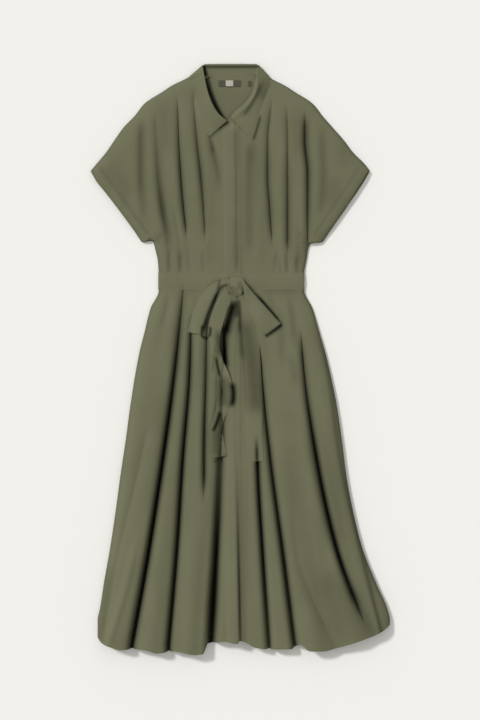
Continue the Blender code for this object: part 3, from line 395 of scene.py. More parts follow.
KNOT_PAINTED_SHADE = (
    Crease("knot_spot_left", -25, 143, -23, 129, 0, 3.4, 0, 0.80, 0.30),
    Crease("knot_spot_right", 8, 143, 7, 130, 0, 3.0, 0, 0.75, 0.30),
    Crease("knot_spot_low", -8, 132, -2, 124, 0, 3.4, 0, 0.80, 0.30),
    Crease("knot_hollow", -15, 154, -17, 134, 0, 6.5, 0, 0.32, 0.30),
    Crease("knot_turn", -25, 160, -22, 142, 2.0, 4.0, 0, 0.22, 0.30),
    Crease("knot_wrap", 3, 164, 4, 142, -2.0, 3.4, 0, 0.22, 0.30),
)
TAIL_PAINTED_SHADE = (
    Crease("strap_turn", -44, 66, -40, 0, -1.0, 8.0, 0, 0.60, 0.30),
    Crease("fold_at_tail", 33, -150, 36, -234, 0, 3.6, 0, 0.90, 0.45),
    Crease("twist_top", -49, 12, -40, -38, -1.0, 3.8, 0, 0.90, 0.25),
    Crease("twist_crescent", -18, -42, -18, -97, 4.4, 6.8, 0, 0.97, 0.20),
    Crease("twist_middle", -37, -28, -35, -100, 0, 12.5, 0, 0.54, 0.25),
    Crease("twist_line", -40, -103, -56, -146, 1.5, 4.4, 0, 0.93, 0.15),
    Crease("left_edge_line", -49, 34, -56, -26, -1.5, 2.2, 0, 0.30, 0.20),
    Crease("end_shade", -50, -136, -46, -200, 0, 14.0, 0, 0.32, 0.25),
    Crease("end_line", -54, -207, -25, -191, 0, 2.8, 0, 0.50, 0.10),
)
# Painted shadows and shade at the collar, on the back, the stand, the leaf and the fronts.
ROLL_LEFT = Crease("roll_left", -73.5, 607, -29, 489, -9.3, 4.4, 0, 0.99, 0.04)
NECK_PAINTED_SHADE = (
    ROLL_LEFT,
    Crease("roll_left_soft", -70, 600, -34, 494, -9.3, 10.0, 0, 0.12, 0.10),
)
STAND_PAINTED_SHADE = (
    Crease("back_roll", -70, 600.5, 38, 600.5, 0, 2.6, 0, 0.62, 0.04),
    ROLL_LEFT,
)
LEAF_PAINTED_SHADE = (
    Crease("roll_right", 44, 566, 5, 498, 3.4, 4.6, 0, 0.50, 0.15),
    Crease("shoulder_right", 48, 578, 46, 530, 0, 13.0, 0, 0.24, 0.25),
)
COLLAR_PAINTED_SHADE = (
    Crease("leaf_front_left", -22.5, 489, -65.5, 456, 0, 4.6, 0, 0.56, 0.06),
    Crease("leaf_tip_left", -63, 457, -53, 420, 1.0, 3.6, 0, 0.32, 0.25),
    Crease("leaf_edge_right", 42, 502, 26, 448, 1.0, 3.4, 0, 0.66, 0.15),
    Crease("front_edge_left", -8, 470, -7, 186, 0, 4.5, 0, 0.20, 0.05),
    Crease("front_edge_low", -8, -150, 5, -800, 0, 3.6, 0, 0.86, 0.50),
)

# The collar, section by section round the neck: its seam with the neckline, the line where it rolls over, and
# its outer edge. A front section's outer edge lies on the front, and its height is worked out from there.
Section = namedtuple("Section", "name seam_x seam_y seam_z roll_x roll_y roll_z edge_x edge_y edge_z")
ON_FRONT = None
COLLAR_SECTIONS = (
    Section("left_tip", -29, 487, 9.0, -27.0, 490, 13.0, -65.5, 456, ON_FRONT),
    Section("left_chest", -50, 504, 8.5, -45, 505, 16.5, -77, 488, ON_FRONT),
    Section("left_neck", -64, 523, 8.0, -58, 526, 18.5, -88, 521, ON_FRONT),
    Section("left_side", -73, 549, 7.6, -67, 552, 17.5, -96, 549, ON_FRONT),
    Section("left_shoulder", -78, 571, 7.0, -72.5, 577, 15.5, -103, 567, ON_FRONT),
    Section("left_fold_top", -78, 581, 6.4, -75.5, 593, 13.5, -104.5, 576, 8.6),
    Section("left_fold", -74, 586, 5.2, -77.5, 603, 9.0, -102, 583, 4.5),
    Section("left_fold_under", -69, 585, 2.2, -73, 605, 6.0, -99, 578, 0.65),
    Section("left_back", -58, 583, 1.75, -60, 605.5, 5.6, -84, 569, 0.65),
    Section("back_left_half", -40, 581, 1.75, -41, 605.5, 5.6, -50, 564, 0.65),
    Section("back", -18, 580.5, 1.75, -18, 605.5, 5.6, -18, 562, 0.65),
    Section("back_right_half", 4, 581, 1.75, 5, 605.5, 5.6, 14, 564, 0.65),
    Section("right_back", 20, 583, 1.75, 22, 605.5, 5.6, 46, 569, 0.65),
    Section("right_fold_under", 29, 585, 2.2, 34.5, 605, 6.0, 57, 578, 0.65),
    Section("right_fold", 34, 586, 5.2, 39.5, 603, 9.0, 58.5, 583, 4.5),
    Section("right_fold_top", 33, 580, 6.4, 39, 593, 13.5, 61.5, 576, 8.6),
    Section("right_shoulder", 30.5, 569, 7.0, 39, 577, 15.5, 64, 567, ON_FRONT),
    Section("right_side", 24, 548, 7.4, 36, 552, 16.5, 57, 549, ON_FRONT),
    Section("right_neck", 8, 525, 7.6, 22.5, 526, 16.5, 46, 521, ON_FRONT),
    Section("right_chest", -9, 511, 8.0, 3, 505, 16.5, 36, 488, ON_FRONT),
    Section("right_tip", -19, 498, 9.0, -14, 491, 16.0, 24.5, 451, ON_FRONT),
)

# Rows of the collar's leaf, from just inside its roll to its edge, how far each bulges past the back neck and
# how far it drops.
LeafRow = namedtuple("LeafRow", "share bulge drop")
LEAF_ROWS = (
    LeafRow(-0.06, 0.0, 1.3),
    LeafRow(-0.03, 0.0, 0.5),
    LeafRow(0.0, 0.0, 0.0),
    LeafRow(0.04, 2.6, 0.15),
    LeafRow(0.10, 6.0, 0.4),
    LeafRow(0.28, 8.0, 0.2),
    LeafRow(0.52, 3.0, 0.0),
    LeafRow(0.66, 1.0, 0.0),
    LeafRow(0.82, 0.0, 0.35),
    LeafRow(1.0, 0.0, 1.3),
)
LEAF_INSIDE = 1.6  # how many times a row inside the roll is nearer the seam than its share says
LEAF_TURNED = 0.24  # share of the leaf's width by which it has turned under at the back
LEAF_ROOM = 0.4
STAND_SHARE = 0.86  # of the way from the seam to the roll
STAND_DROP = 1.7

# The tails of the belt, from the knot to their ends: the middle of the ribbon, the width that shows from
# above, and how far which edge is turned up.
TailPoint = namedtuple("TailPoint", "across height shown turn")
LEFT_TAIL = (
    TailPoint(-22.0, 142.0, 20, 0.0),
    TailPoint(-33.0, 121.0, 26, 0.0),
    TailPoint(-47.0, 84.0, 28, 0.0),
    TailPoint(-52.0, 54.0, 23, 0.2),
    TailPoint(-51.0, 28.0, 18, 0.6),
    TailPoint(-43.0, -2.0, 17, 0.9),
    TailPoint(-34.0, -34.0, 27, 0.7),
    TailPoint(-30.5, -64.0, 34, 0.3),
    TailPoint(-34.0, -92.0, 29, -0.5),
    TailPoint(-43.0, -118.0, 21, -0.9),
    TailPoint(-49.0, -146.0, 27, -0.7),
    TailPoint(-43.5, -197.0, 33, -0.2),
)
RIGHT_TAIL = (
    TailPoint(4.0, 134.0, 24, 0.0),
    TailPoint(12.0, 95.0, 27, 0.0),
    TailPoint(20.0, 45.0, 32, -0.3),
    TailPoint(26.0, -15.0, 33, -1.0),
    TailPoint(29.0, -75.0, 33, -0.8),
    TailPoint(28.0, -135.0, 34, 0.6),
    TailPoint(31.0, -206.0, 34, 0.4),
)

# The two edges of each loop of the bow, from the knot to where the ribbon turns back below itself.
LoopPoint = namedtuple("LoopPoint", "reach outer_x outer_y inner_x inner_y")
LEFT_LOOP = (
    LoopPoint(0.00, -21.9, 168.5, -21.9, 156.5),
    LoopPoint(0.15, -44.0, 162.5, -39.0, 152.5),
    LoopPoint(0.30, -64.0, 152.0, -46.0, 141.0),
    LoopPoint(0.65, -91.0, 112.0, -61.5, 97.0),
    LoopPoint(1.00, -108.0, 58.5, -79.5, 53.0),
)
RIGHT_LOOP = (
    LoopPoint(0.00, 5.0, 165.0, 7.4, 149.0),
    LoopPoint(0.35, 31.0, 133.0, 10.5, 118.0),
    LoopPoint(0.65, 56.5, 105.0, 21.0, 86.0),
    LoopPoint(1.00, 84.0, 75.0, 53.0, 53.0),
)
LOOP_OPEN = {"left": 1.4, "right": 5.0}  # how far a loop stands open
LOOP_FLOOR = {"left": 0.6, "right": 2.0}  # and its lower ribbon lies above the skirt
LOOP_PINCH = {"left": 1.1, "right": 1.4}  # and its two ribbons are apart at the knot
LOOP_TURN = 0.035  # share of a loop's reach in which the ribbon turns back
LOOP_OVER_KNOT_FOOT = 0.5
LOOP_EDGES_DROP = 0.45
LOOP_EDGE_SUNK = 0.5
LOOP_SINKS = (0.15, 0.5)
LOOP_COMES_DOWN = 0.45
LOOP_GATHERS = 0.6

# How far round a point the cloth below is looked at, so that what lies on it bridges its valleys.
BAND_REACH = 2.0
LEAF_REACH = 2.0
PIECE_REACH = 5.0
BELT_REACH = 9.0
TAIL_REACH = 12.0

# The thin edges of what lies on the fronts are eased down onto them.
BAND_SUNK = 0.1
BAND_EDGE_DROP = 0.75
BAND_EDGE = (0.72, 1.0)
BELT_ROUND = 14.0
BELT_EDGE_ROUND = 15.0
BELT_EDGE_SUNK = 0.9
TAIL_LIFT = 0.25  # share of its height that a turned-up edge keeps
TAIL_EDGE_DROP = 1.0
TAIL_END = (0.90, 1.0)
TAIL_HIGH, TAIL_LOW = 60.0, -60.0  # between these the tails come to lie close on the skirt

KNOT_MIDDLE = (-8.0, 150.0)
KNOT_SIZE = (37.0, 42.0, 4.0)
KNOT_ROUND = 0.75  # 0 for a square outline, 1 for a circle
KNOT_FULLNESS = 1.4
KNOT_FOOT = 2.4
KNOT_OVER_LOOPS = 4.0
LOOPS_LEAVE, LOOPS_HIGH = 158.0, 9.0  # where the loops pass below the knot's rim, and half their width there

LABEL_SIZE = (45.0, 12.5)
LABEL_MIDDLE = (-21.5, 567.5)
PATCH_SIZE = (15.5, 12.0)
PATCH_MIDDLE = LABEL_MIDDLE
SIZE_TAB_SIZE = (6.0, 11.0)
SIZE_TAB_MIDDLE = (19.5, 567.0)

# ---------------------------------------------------------------- shape of the laid dress


def flowing(stations, values, wanted):
    """A curve through the values that never overshoots them."""
    x = np.asarray(stations, float)
    y = np.asarray(values, float)
    if x[0] > x[-1]:
        x, y = x[::-1], y[::-1]
    step = np.diff(x)
    slope = np.diff(y) / step
    tangent = np.zeros_like(y)
    same = slope[1:] * slope[:-1] > 0
    tangent[1:-1][same] = 2 * slope[1:][same] * slope[:-1][same] / (slope[1:][same] + slope[:-1][same])
    tangent[0], tangent[-1] = slope[0], slope[-1]
    at = np.clip(np.asarray(wanted, float), x[0], x[-1])
    k = np.clip(np.searchsorted(x, at, side="right") - 1, 0, len(x) - 2)
    t = (at - x[k]) / step[k]
    rising = t * t * (3 - 2 * t)
    return (
        y[k] * (1 - rising)
        + y[k + 1] * rising
        + step[k] * (t * (1 - t) ** 2 * tangent[k] - t * t * (1 - t) * tangent[k + 1])
    )


def column(table, name):
    """One column of a table, as a list."""
    return [getattr(row, name) for row in table]


def ease(value, low, high):
    """0 at low and 1 at high, with a soft start and end."""
    t = np.clip((np.asarray(value, float) - low) / (high - low), 0, 1)
    return t * t * (3 - 2 * t)


def rounded(distance, reach, fullness=2.0):
    """A quarter round: 0 at no distance, 1 from reach on. It is squarer, the fuller it is."""
    t = np.clip(np.asarray(distance, float) / reach, 0, 1)
    return (1 - (1 - t) ** fullness) ** (1 / fullness)


def outline(height, side):
    """The X of the laid dress's left or right outline at a height."""
    height = np.asarray(height, float)
    shoulder = flowing(column(SHOULDER_EDGE, "height"), column(SHOULDER_EDGE, side), height)
    sleeve = np.interp(height, column(SLEEVE_EDGE, "height")[::-1], column(SLEEVE_EDGE, side)[::-1])
    body = flowing(column(SIDE_EDGE, "height"), column(SIDE_EDGE, side), height)
    skirt = flowing(column(SKIRT_EDGE, "height"), column(SKIRT_EDGE, side), height)
    found = np.where(height >= SLEEVE_EDGE[0].height, shoulder, sleeve)
    underarm = ease(height, SLEEVE_EDGE[-1].height, SIDE_EDGE[0].height)
    found = np.where(height < SLEEVE_EDGE[-1].height, found + (body - found) * underarm, found)
    return np.where(height < WAIST_LINE, skirt, found)


def hem_height(across):
    """The height of the wavy hem."""
    return flowing(column(HEM_CURVE, "across"), column(HEM_CURVE, "height"), across)


def way_down(heights):
    """How far down the skirt each of its rows lies, as a share."""
    return (heights[0] - heights) / (heights[0] - HEM_LINE)


def along_rows(path, heights, rise=0.0):
    """A path's X on each row of the skirt, whose rows bend towards the curve of the hem."""
    hem = float(hem_height(path(HEM_LINE))) + rise
    return path(heights[0] + (hem - heights[0]) * way_down(heights))


def front_edge(height):
    """The X of the left front's edge."""
    return flowing(column(FRONT_EDGES, "height"), column(FRONT_EDGES, "across"), height)


def underlap(height):
    """How far the right front of the skirt reaches below the left one."""
    return UNDERLAP - PLEAT_ROOM * ease(np.abs(height - PLEAT_TOP), PLEAT_FAR, PLEAT_NEAR)


def bodice_path(fold, height):
    """The X of a fold of the bodice."""
    return flowing(BODICE_STATIONS, fold.path, height)


def skirt_path(fold, height):
    """The X of a fold of the skirt."""
    return flowing(SKIRT_STATIONS, fold.path, height)


def notched(x, height):
    """The heights with the cloth drawn up a little where the left sleeve meets the side."""
    across = (x - NOTCH_MIDDLE[0]) / NOTCH_SIZE[0]
    up = (height - NOTCH_MIDDLE[1]) / NOTCH_SIZE[1]
    return height + NOTCH_RISE * np.exp(-(across**2) - up**2)


def back_ridge_path(ridge, height):
    """The X of a ridge of the back of the skirt."""
    down = np.clip((BACK_RIDGE_TOP - height) / (BACK_RIDGE_TOP - HEM_LINE), 0, 1)
    return ridge.hip + (ridge.hem - ridge.hip) * down


def lasting(fold, height, fade):
    """1 along a fold, and less towards its start and its end."""
    return ease(height, fold.start, fold.start - fade) * ease(height, fold.end, fold.end + fade)


def left_after(folds, path, x, height, fade):
    """The share of the rise that the valleys leave at a point."""
    share = np.ones_like(x)
    for fold in folds:
        strength = lasting(fold, height, fade)
        floor = fold.slit + (fold.hem_slit - fold.slit) * ease(height, fold.start, max(fold.end, HEM_LINE))
        away = np.sqrt((x - path(fold, height)) ** 2 + VALLEY_POINT + SHALLOW_ROUND * (1 - fold.depth) ** 2)
        away = np.maximum(away - floor * strength, VALLEY_LEAST)
        share = share * (1 - fold.depth * strength * (1 - rounded(away, fold.width, RIDGE_FULLNESS)))
    return share


def near_crease(crease, x, height):
    """1 in the middle of a crease, and less towards its sides and its ends."""
    run = np.array([crease.to_x - crease.from_x, crease.to_y - crease.from_y], float)
    long = np.hypot(*run)
    run /= long
    along = ((x - crease.from_x) * run[0] + (height - crease.from_y) * run[1]) / long
    across = (height - crease.from_y) * run[0] - (x - crease.from_x) * run[1]
    bowed = across - crease.bow * 4 * along * (1 - along)
    ends = ease(along, -0.05, crease.fade) * ease(along, 1.05, 1 - crease.fade)
    return ends * np.exp(-((bowed / crease.width) ** 2))


def creases(table, x, height):
    """The height that a table's small creases add at a point."""
    return sum((crease.height * near_crease(crease, x, height) for crease in table), np.zeros_like(x))


def shade_of_creases(table, x, height):
    """The share of the light that a table's small creases leave at a point, for painted shade."""
    left = np.ones_like(x)
    for crease in table:
        left = left * (1 - crease.dark * near_crease(crease, x, height))
    return left


def shade_of_folds(folds, path, stations, x, height, fade):
    """The share of the light that the valleys leave at a point, for painted shade."""
    left = np.ones_like(x)
    for fold in folds:
        lost = np.clip(flowing(stations, fold.dark, height), 0, 1) * lasting(fold, height, fade)
        left = left * (1 - lost * np.exp(-(((x - path(fold, height)) / fold.spread) ** 2)))
    return left


def front_shade(x, height):
    """The share of the light that the fronts get at a point, for painted shade."""
    bodice = shade_of_folds(BODICE_FOLDS, bodice_path, BODICE_STATIONS, x, height, BODICE_FADE)
    skirt = shade_of_folds(SKIRT_FOLDS, skirt_path, SKIRT_STATIONS, x, height, SKIRT_FADE)
    folds = np.where(height > WAIST_LINE, bodice, skirt)
    small = FRONT_CREASES + BOW_PAINTED_SHADE + GAP_PAINTED_SHADE + TAIL_PAINTED_SHADE + COLLAR_PAINTED_SHADE
    # Painted shade along both outlines, where the sides turn under.
    left = (x - outline(height, "left")) / SIDE_SHADE_REACH
    right = (outline(height, "right") - x) / SIDE_SHADE_REACH
    sides = (1 - LEFT_SIDE_PAINTED_SHADE * np.exp(-(left**2))) * (1 - RIGHT_SIDE_PAINTED_SHADE * np.exp(-(right**2)))
    return folds * sides * shade_of_creases(small, x, height)


def neckline_distance(x, height):
    """How far a point is from the seam of the collar."""
    seam = np.array([(row.seam_x, row.seam_y) for row in COLLAR_SECTIONS], float)
    nearest = np.full(x.shape, 1e6)
    for (ax, ay), (bx, by) in zip(seam[:-1], seam[1:]):
        along = ((x - ax) * (bx - ax) + (height - ay) * (by - ay)) / ((bx - ax) ** 2 + (by - ay) ** 2)
        along = np.clip(along, 0, 1)
        away = np.hypot(x - ax - along * (bx - ax), height - ay - along * (by - ay))
        nearest = np.minimum(nearest, away)
    return nearest


def back_under(x, height):
    """The underside of the back: on the floor, but for the belt and collar below it and its own ridges."""
    past_belt = np.abs(height - WAIST_LINE) - BELT_WIDTH / 2
    over_belt = LAYER * (1 - ease(past_belt, *BELT_SLOPE))
    over_collar = LAYER * ease(height, *COLLAR_SLOPE)
    full = ease(height, BACK_RIDGE_TOP, BACK_RIDGE_FULL)
    ridges = np.zeros_like(x)
    for ridge in BACK_RIDGES:
        away = (x - back_ridge_path(ridge, height)) / ridge.width
        ridges = ridges + ridge.lift * full * np.clip(1 - away * away, 0, 1) ** 2
    return over_belt + over_collar + ridges + creases(BACK_CREASES, x, height)


def overlap(x, height):
    """1 where the right front passes below the left one."""
    past_edge = x - front_edge(height)
    past_underlap = -UNDERLAP - past_edge
    return (1 - ease(past_edge, *OVERLAP_PAST_EDGE)) * (1 - ease(past_underlap, *OVERLAP_PAST_UNDERLAP))


def front_under(x, height):
    """The underside of the fronts as one folded sheet, before the right one passes below the left one."""
    left = x - outline(height, "left")
    right = outline(height, "right") - x
    mouth = SLEEVE_MOUTH * ease(height, *MOUTH_LOW) * ease(height, *MOUTH_HIGH)
    reach = SIDE_ROUND + (SHOULDER_ROUND - SIDE_ROUND) * ease(height, *SHOULDER_START)
    sides = (mouth + (1 - mouth) * rounded(left, reach)) * (mouth + (1 - mouth) * rounded(right, reach))
    bodice = left_after(BODICE_FOLDS, bodice_path, x, height, BODICE_FADE)
    skirt = left_after(SKIRT_FOLDS, skirt_path, x, height, SKIRT_FADE)
    valleys = np.where(height > WAIST_LINE, bodice, skirt)
    neck = NECK_LEFT + (1 - NECK_LEFT) * ease(neckline_distance(x, height), *NECK_REACH)
    rise = flowing(column(RISES, "height"), column(RISES, "rise"), height) * sides * valleys * neck
    small = creases(FRONT_CREASES, x, height)
    rise = np.maximum(rise + small * np.clip(rise / CREASES_FULL, 0, 1), 0)
    return back_under(x, height) + LAYER + OVERLAP_LIFT * overlap(x, height) + rise


def steepness(x, height):
    """The vertical thickness of a sloping wall, as a multiple of its real thickness."""
    slope_x = (front_under(x + 1, height) - front_under(x - 1, height)) / 2
    slope_y = (front_under(x, height + 1) - front_under(x, height - 1)) / 2
    return np.minimum(np.sqrt(1 + slope_x**2 + slope_y**2), STEEPEST)


def left_front_under(x, height):
    """The left front's edge hangs down a little over the right front."""
    return front_under(x, height) - EDGE_DROP * ease(x - front_edge(height), -EDGE_STRIP * 2, 0)


def right_front_under(x, height):
    """The right front passes below the left one by the left one's thickness."""
    below = 1 - ease(x - front_edge(height), *DIVE)
    return front_under(x, height) - below * (TWILL * steepness(x, height) + UNDER_ROOM)


LATTICE = 2.0  # spacing of the points at which the top of the fronts is worked out, once for each reach
LATTICE_X = np.arange(-320, 321, LATTICE)
LATTICE_Y = np.arange(-620, 621, LATTICE)
TOPS = {}


def lattice_top(reach):
    """The highest point of the fronts within reach of each point of the lattice."""
    if reach not in TOPS:
        x, height = np.meshgrid(LATTICE_X, LATTICE_Y, indexing="ij")
        if not TOPS:
            TOPS[0] = front_under(x, height) + CLOTH * steepness(x, height)
        cells = int(np.ceil(reach / LATTICE))
        highest = TOPS[0].copy()
        wide = np.pad(TOPS[0], cells, mode="edge")
        for step_x in range(-cells, cells + 1):
            for step_y in range(-cells, cells + 1):
                if (step_x**2 + step_y**2) * LATTICE**2 <= reach**2:
                    near = wide[cells + step_x :, cells + step_y :][: len(LATTICE_X), : len(LATTICE_Y)]
                    highest = np.maximum(highest, near)
        TOPS[reach] = highest
    return TOPS[reach]


def front_top(x, height, reach):
    """The highest point of the fronts near a point, for what lies on them and bridges their valleys."""
    top = lattice_top(reach)
    x, height = np.broadcast_arrays(np.asarray(x, float), np.asarray(height, float))
    i = np.clip((x - LATTICE_X[0]) / LATTICE, 0, len(LATTICE_X) - 1.001)
    j = np.clip((height - LATTICE_Y[0]) / LATTICE, 0, len(LATTICE_Y) - 1.001)
    left, low = i.astype(int), j.astype(int)
    u, v = i - left, j - low
    lower = top[left, low] * (1 - u) + top[left + 1, low] * u
    upper = top[left, low + 1] * (1 - u) + top[left + 1, low + 1] * u
    return lower * (1 - v) + upper * v


def neckline(height, side):
    """The X of the front neckline at a height, for the left or the right front."""
    rows = [row for row in COLLAR_SECTIONS if row.name.startswith(side) and "back" not in row.name]
    rows = [row for row in rows if "under" not in row.name and row.name != f"{side}_fold"]
    order = sorted(rows, key=lambda row: row.seam_y)
    start = (NECK_END, float(front_edge(NECK_END))) if side == "left" else (RIGHT_NECK_END, order[0].seam_x)
    return flowing([start[0]] + column(order, "seam_y"), [start[1]] + column(order, "seam_x"), height)


# ---------------------------------------------------------------- making


def no_selection():
    """Deselects everything, because an operator acts on all that is selected."""
    for obj in bpy.context.selected_objects:
        obj.select_set(False)


def spread(*spans):
    """Rows or columns at even steps over each span, given as its start, its end and its number of steps."""
    parts = [np.linspace(start, end, steps, endpoint=False) for start, end, steps in spans]
    return np.concatenate(parts + [[spans[-1][1]]])


def between(knots, apart, columns, crowding):
    """Columns through the knots of each row, which crowd towards the knots, where the cloth is steepest."""
    knots = np.array(knots, float)
    count = len(knots)
    room = np.minimum(apart, (knots[-1] - knots[0]) / (count - 1) * 0.9)
    for k in range(1, count - 1):
        knots[k] = np.maximum(knots[k], knots[k - 1] + room)
    for k in range(count - 2, 0, -1):
        knots[k] = np.minimum(knots[k], knots[k + 1] - room)
    share = np.linspace(0, 1, columns, endpoint=False)
    share = share - crowding * np.sin(2 * np.pi * share) / (2 * np.pi)
    made = [knots[k] + (knots[k + 1] - knots[k]) * part for k in range(count - 1) for part in share]
    return np.array(made + [knots[-1]])


def cloth(name, points, material, thickness=TWILL, side=1.0, lift=0.0, shade=None):
    """A thin wall of cloth on a grid of points in mm: columns along the first axis, rows along the second.
    Shade is the share of the light that each point gets between its folds; what is lost is painted into the
    colour."""
    columns, rows = points.shape[:2]
    no_selection()
    bpy.ops.mesh.primitive_grid_add(x_subdivisions=columns - 1, y_subdivisions=rows - 1, size=2.0)
    made = bpy.context.object
    mesh = made.data
    made.name = mesh.name = name
    grid = np.zeros(len(mesh.vertices) * 3)
    mesh.vertices.foreach_get("co", grid)
    grid = grid.reshape(-1, 3)
    i = np.rint((grid[:, 0] + 1) / 2 * (columns - 1)).astype(int)
    j = np.rint((grid[:, 1] + 1) / 2 * (rows - 1)).astype(int)
    placed = (points[i, j] + np.array([0, 0, lift])) * MM
    mesh.vertices.foreach_set("co", placed.ravel())
    # The UV map holds the cloth's own lengths in metres, so that the weave follows it.
    across = np.cumsum(np.linalg.norm(np.diff(points, axis=0, prepend=points[:1]), axis=2), axis=0)
    down = np.cumsum(np.linalg.norm(np.diff(points, axis=1, prepend=points[:, :1]), axis=2), axis=1)
    across = across - across[columns // 2]
    corner = np.zeros(len(mesh.loops), dtype=int)
    mesh.loops.foreach_get("vertex_index", corner)
    flat = np.stack([across[i, j], down[i, j]], axis=1)[corner] * MM
    mesh.uv_layers.active.data.foreach_set("uv", flat.ravel())
    # What each point lost of the light, for its material to paint in as shade.
    if shade is not None:
        lost = mesh.attributes.new("light_lost", "FLOAT", "POINT")
        lost.data.foreach_set("value", (1 - shade[i, j]).astype(np.float32))
    mesh.update()
    if side > 0 and sum(face.normal.z * face.area for face in mesh.polygons) < 0:
        mesh.flip_normals()
    mesh.shade_smooth()
    wall = made.modifiers.new("wall", "SOLIDIFY")
    wall.thickness = thickness * MM
    wall.offset = side
    wall.use_even_offset = False
    wall.use_quality_normals = True
    bpy.ops.object.modifier_apply(modifier=wall.name)
    mesh.set_sharp_from_angle(angle=np.radians(SHARP_EDGE))
    mesh.materials.append(material)
    return made


def belongs(piece, node):
    """Puts a piece in the place of a node of the part."""
    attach(piece, "root")
    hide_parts(node)


def linear(hex_colour):
    """An sRGB hex colour as linear RGBA."""
    parts = [int(hex_colour[k : k + 2], 16) / 255 for k in (1, 3, 5)]
    return (*[p / 12.92 if p <= 0.04045 else ((p + 0.055) / 1.055) ** 2.4 for p in parts], 1.0)


def add_node(tree, kind, inputs, **settings):
    """Adds a node with its settings. An input, by name or number, is a value or the socket that feeds it."""
    node = tree.nodes.new(kind)
    for name, value in settings.items():
        setattr(node, name, value)
    for name, value in inputs.items():
        if isinstance(value, bpy.types.NodeSocket):
            tree.links.new(value, node.inputs[name])
        else:
            node.inputs[name].default_value = value
    return node


# ---------------------------------------------------------------- materials

TWILL_DEEP, TWILL_LIGHT = "#696952", "#72725B"
# The near black towards which painted shade darkens the twill between its folds.
UNLIT = "#020201"
TAPE_DEEP, TAPE_LIGHT = "#48463B", "#525043"
PATCH_DEEP, PATCH_LIGHT = "#A9A79B", "#B8B6AA"
THREAD_DEEP, THREAD_LIGHT = "#5E5D49", "#6A6953"
MIX_A, MIX_B, MIX_RESULT = 6, 7, 2  # sockets of a colour mix

DYE_CLOUDS = 16.0  # to the metre, for clouds some 60 mm across
CRINKLES = 165.0  # to the metre, for a crinkle some 6 mm across
CRINKLE_SHOWS = 0.4
RIB_SLANT = 1.1  # radians from the cloth's width
RIB_REPEAT = 0.314  # metres from rib to rib where the wave's scale is 1
RIB_UNEVEN = 1.2
RIB_DEEP = 0.1
RIB_SHOWS, RIB_TINT = 0.3, 0.10
SHEEN_ROUGHNESS = 0.55


def woven(name, deep, light, rib, crinkle, roughness, sheen, specular, folded=False):
    """Cloth with a slanted rib of its own spacing in mm, and a cloudy, slightly crinkled surface. The meshes
    of folded cloth hold how much of the light is lost between its folds, painted into the colour as shade."""
    material = bpy.data.materials.new(name)
    material.use_nodes = True
    tree = material.node_tree
    shader = tree.nodes["Principled BSDF"]
    shader.inputs["Roughness"].default_value = roughness
    shader.inputs["Sheen Roughness"].default_value = SHEEN_ROUGHNESS
    shader.inputs["Sheen Weight"].default_value = sheen
    shader.inputs["Specular IOR Level"].default_value = specular
    place = add_node(tree, "ShaderNodeTexCoord", {})
    clouds = add_node(
        tree,
        "ShaderNodeTexNoise",
        {"Vector": place.outputs["Object"], "Scale": DYE_CLOUDS, "Detail": 3.0},
    )
    crinkled = add_node(
        tree,
        "ShaderNodeTexNoise",
        {"Vector": place.outputs["Object"], "Scale": CRINKLES, "Detail": 4.0},
    )
    # The rib follows the grain of the cloth, which its UV map holds in metres.
    grain = add_node(
        tree,
        "ShaderNodeMapping",
        {"Vector": place.outputs["UV"], "Rotation": (0.0, 0.0, RIB_SLANT)},
    )
    ribs = add_node(
        tree,
        "ShaderNodeTexWave",
        {
            "Vector": grain.outputs["Vector"],
            "Scale": RIB_REPEAT / (rib * MM),
            "Distortion": RIB_UNEVEN,
            "Detail": 2.0,
        },
    )
    dyed = add_node(
        tree,
        "ShaderNodeMix",
        {"Factor": clouds.outputs["Fac"], MIX_A: linear(deep), MIX_B: linear(light)},
        data_type="RGBA",
    )
    threads = add_node(
        tree,
        "ShaderNodeMix",
        {"Factor": RIB_TINT, MIX_A: dyed.outputs[MIX_RESULT], MIX_B: ribs.outputs["Color"]},
        data_type="RGBA",
        blend_type="SOFT_LIGHT",
    )
    seen = threads.outputs[MIX_RESULT]
    # Painted shade: the colour is mixed towards UNLIT by the light that the mesh holds as lost.
    if folded:
        lost = add_node(tree, "ShaderNodeAttribute", {}, attribute_name="light_lost")
        shaded = add_node(
            tree,
            "ShaderNodeMix",
            {"Factor": lost.outputs["Fac"], MIX_A: seen, MIX_B: linear(UNLIT)},
            data_type="RGBA",
        )
        seen = shaded.outputs[MIX_RESULT]
    tree.links.new(seen, shader.inputs["Base Color"])
    soft = add_node(
        tree,
        "ShaderNodeBump",
        {"Height": crinkled.outputs["Fac"], "Strength": CRINKLE_SHOWS, "Distance": crinkle * MM},
    )
    ribbed = add_node(
        tree,
        "ShaderNodeBump",
        {
            "Height": ribs.outputs["Fac"],
            "Strength": RIB_SHOWS,
            "Distance": RIB_DEEP * MM,
            "Normal": soft.outputs["Normal"],
        },
    )
    tree.links.new(ribbed.outputs["Normal"], shader.inputs["Normal"])
    return material


# Viscose twill, piece-dyed and washed: matt and soft. Its rib, really 0.5 mm apart, is drawn 1.6 mm apart so
# that it shows.
# Its colour carries the painted shade of the folds.
olive_twill = woven(
    "olive_viscose_twill",
    TWILL_DEEP,
    TWILL_LIGHT,
    rib=1.6,
    crinkle=0.9,
    roughness=0.88,
    sheen=0.02,
    specular=0.05,
    folded=True,
)
# Polyester tape woven close: darker, flatter and a little smoother.
TAPE_WEAVE = {"rib": 1.0, "crinkle": 0.2, "roughness": 0.62, "sheen": 0.05, "specular": 0.22}
label_tape = woven("dark_woven_polyester_tape", TAPE_DEEP, TAPE_LIGHT, **TAPE_WEAVE)
# The same weave in an undyed thread.
label_patch = woven("pale_woven_polyester_patch", PATCH_DEEP, PATCH_LIGHT, **TAPE_WEAVE)
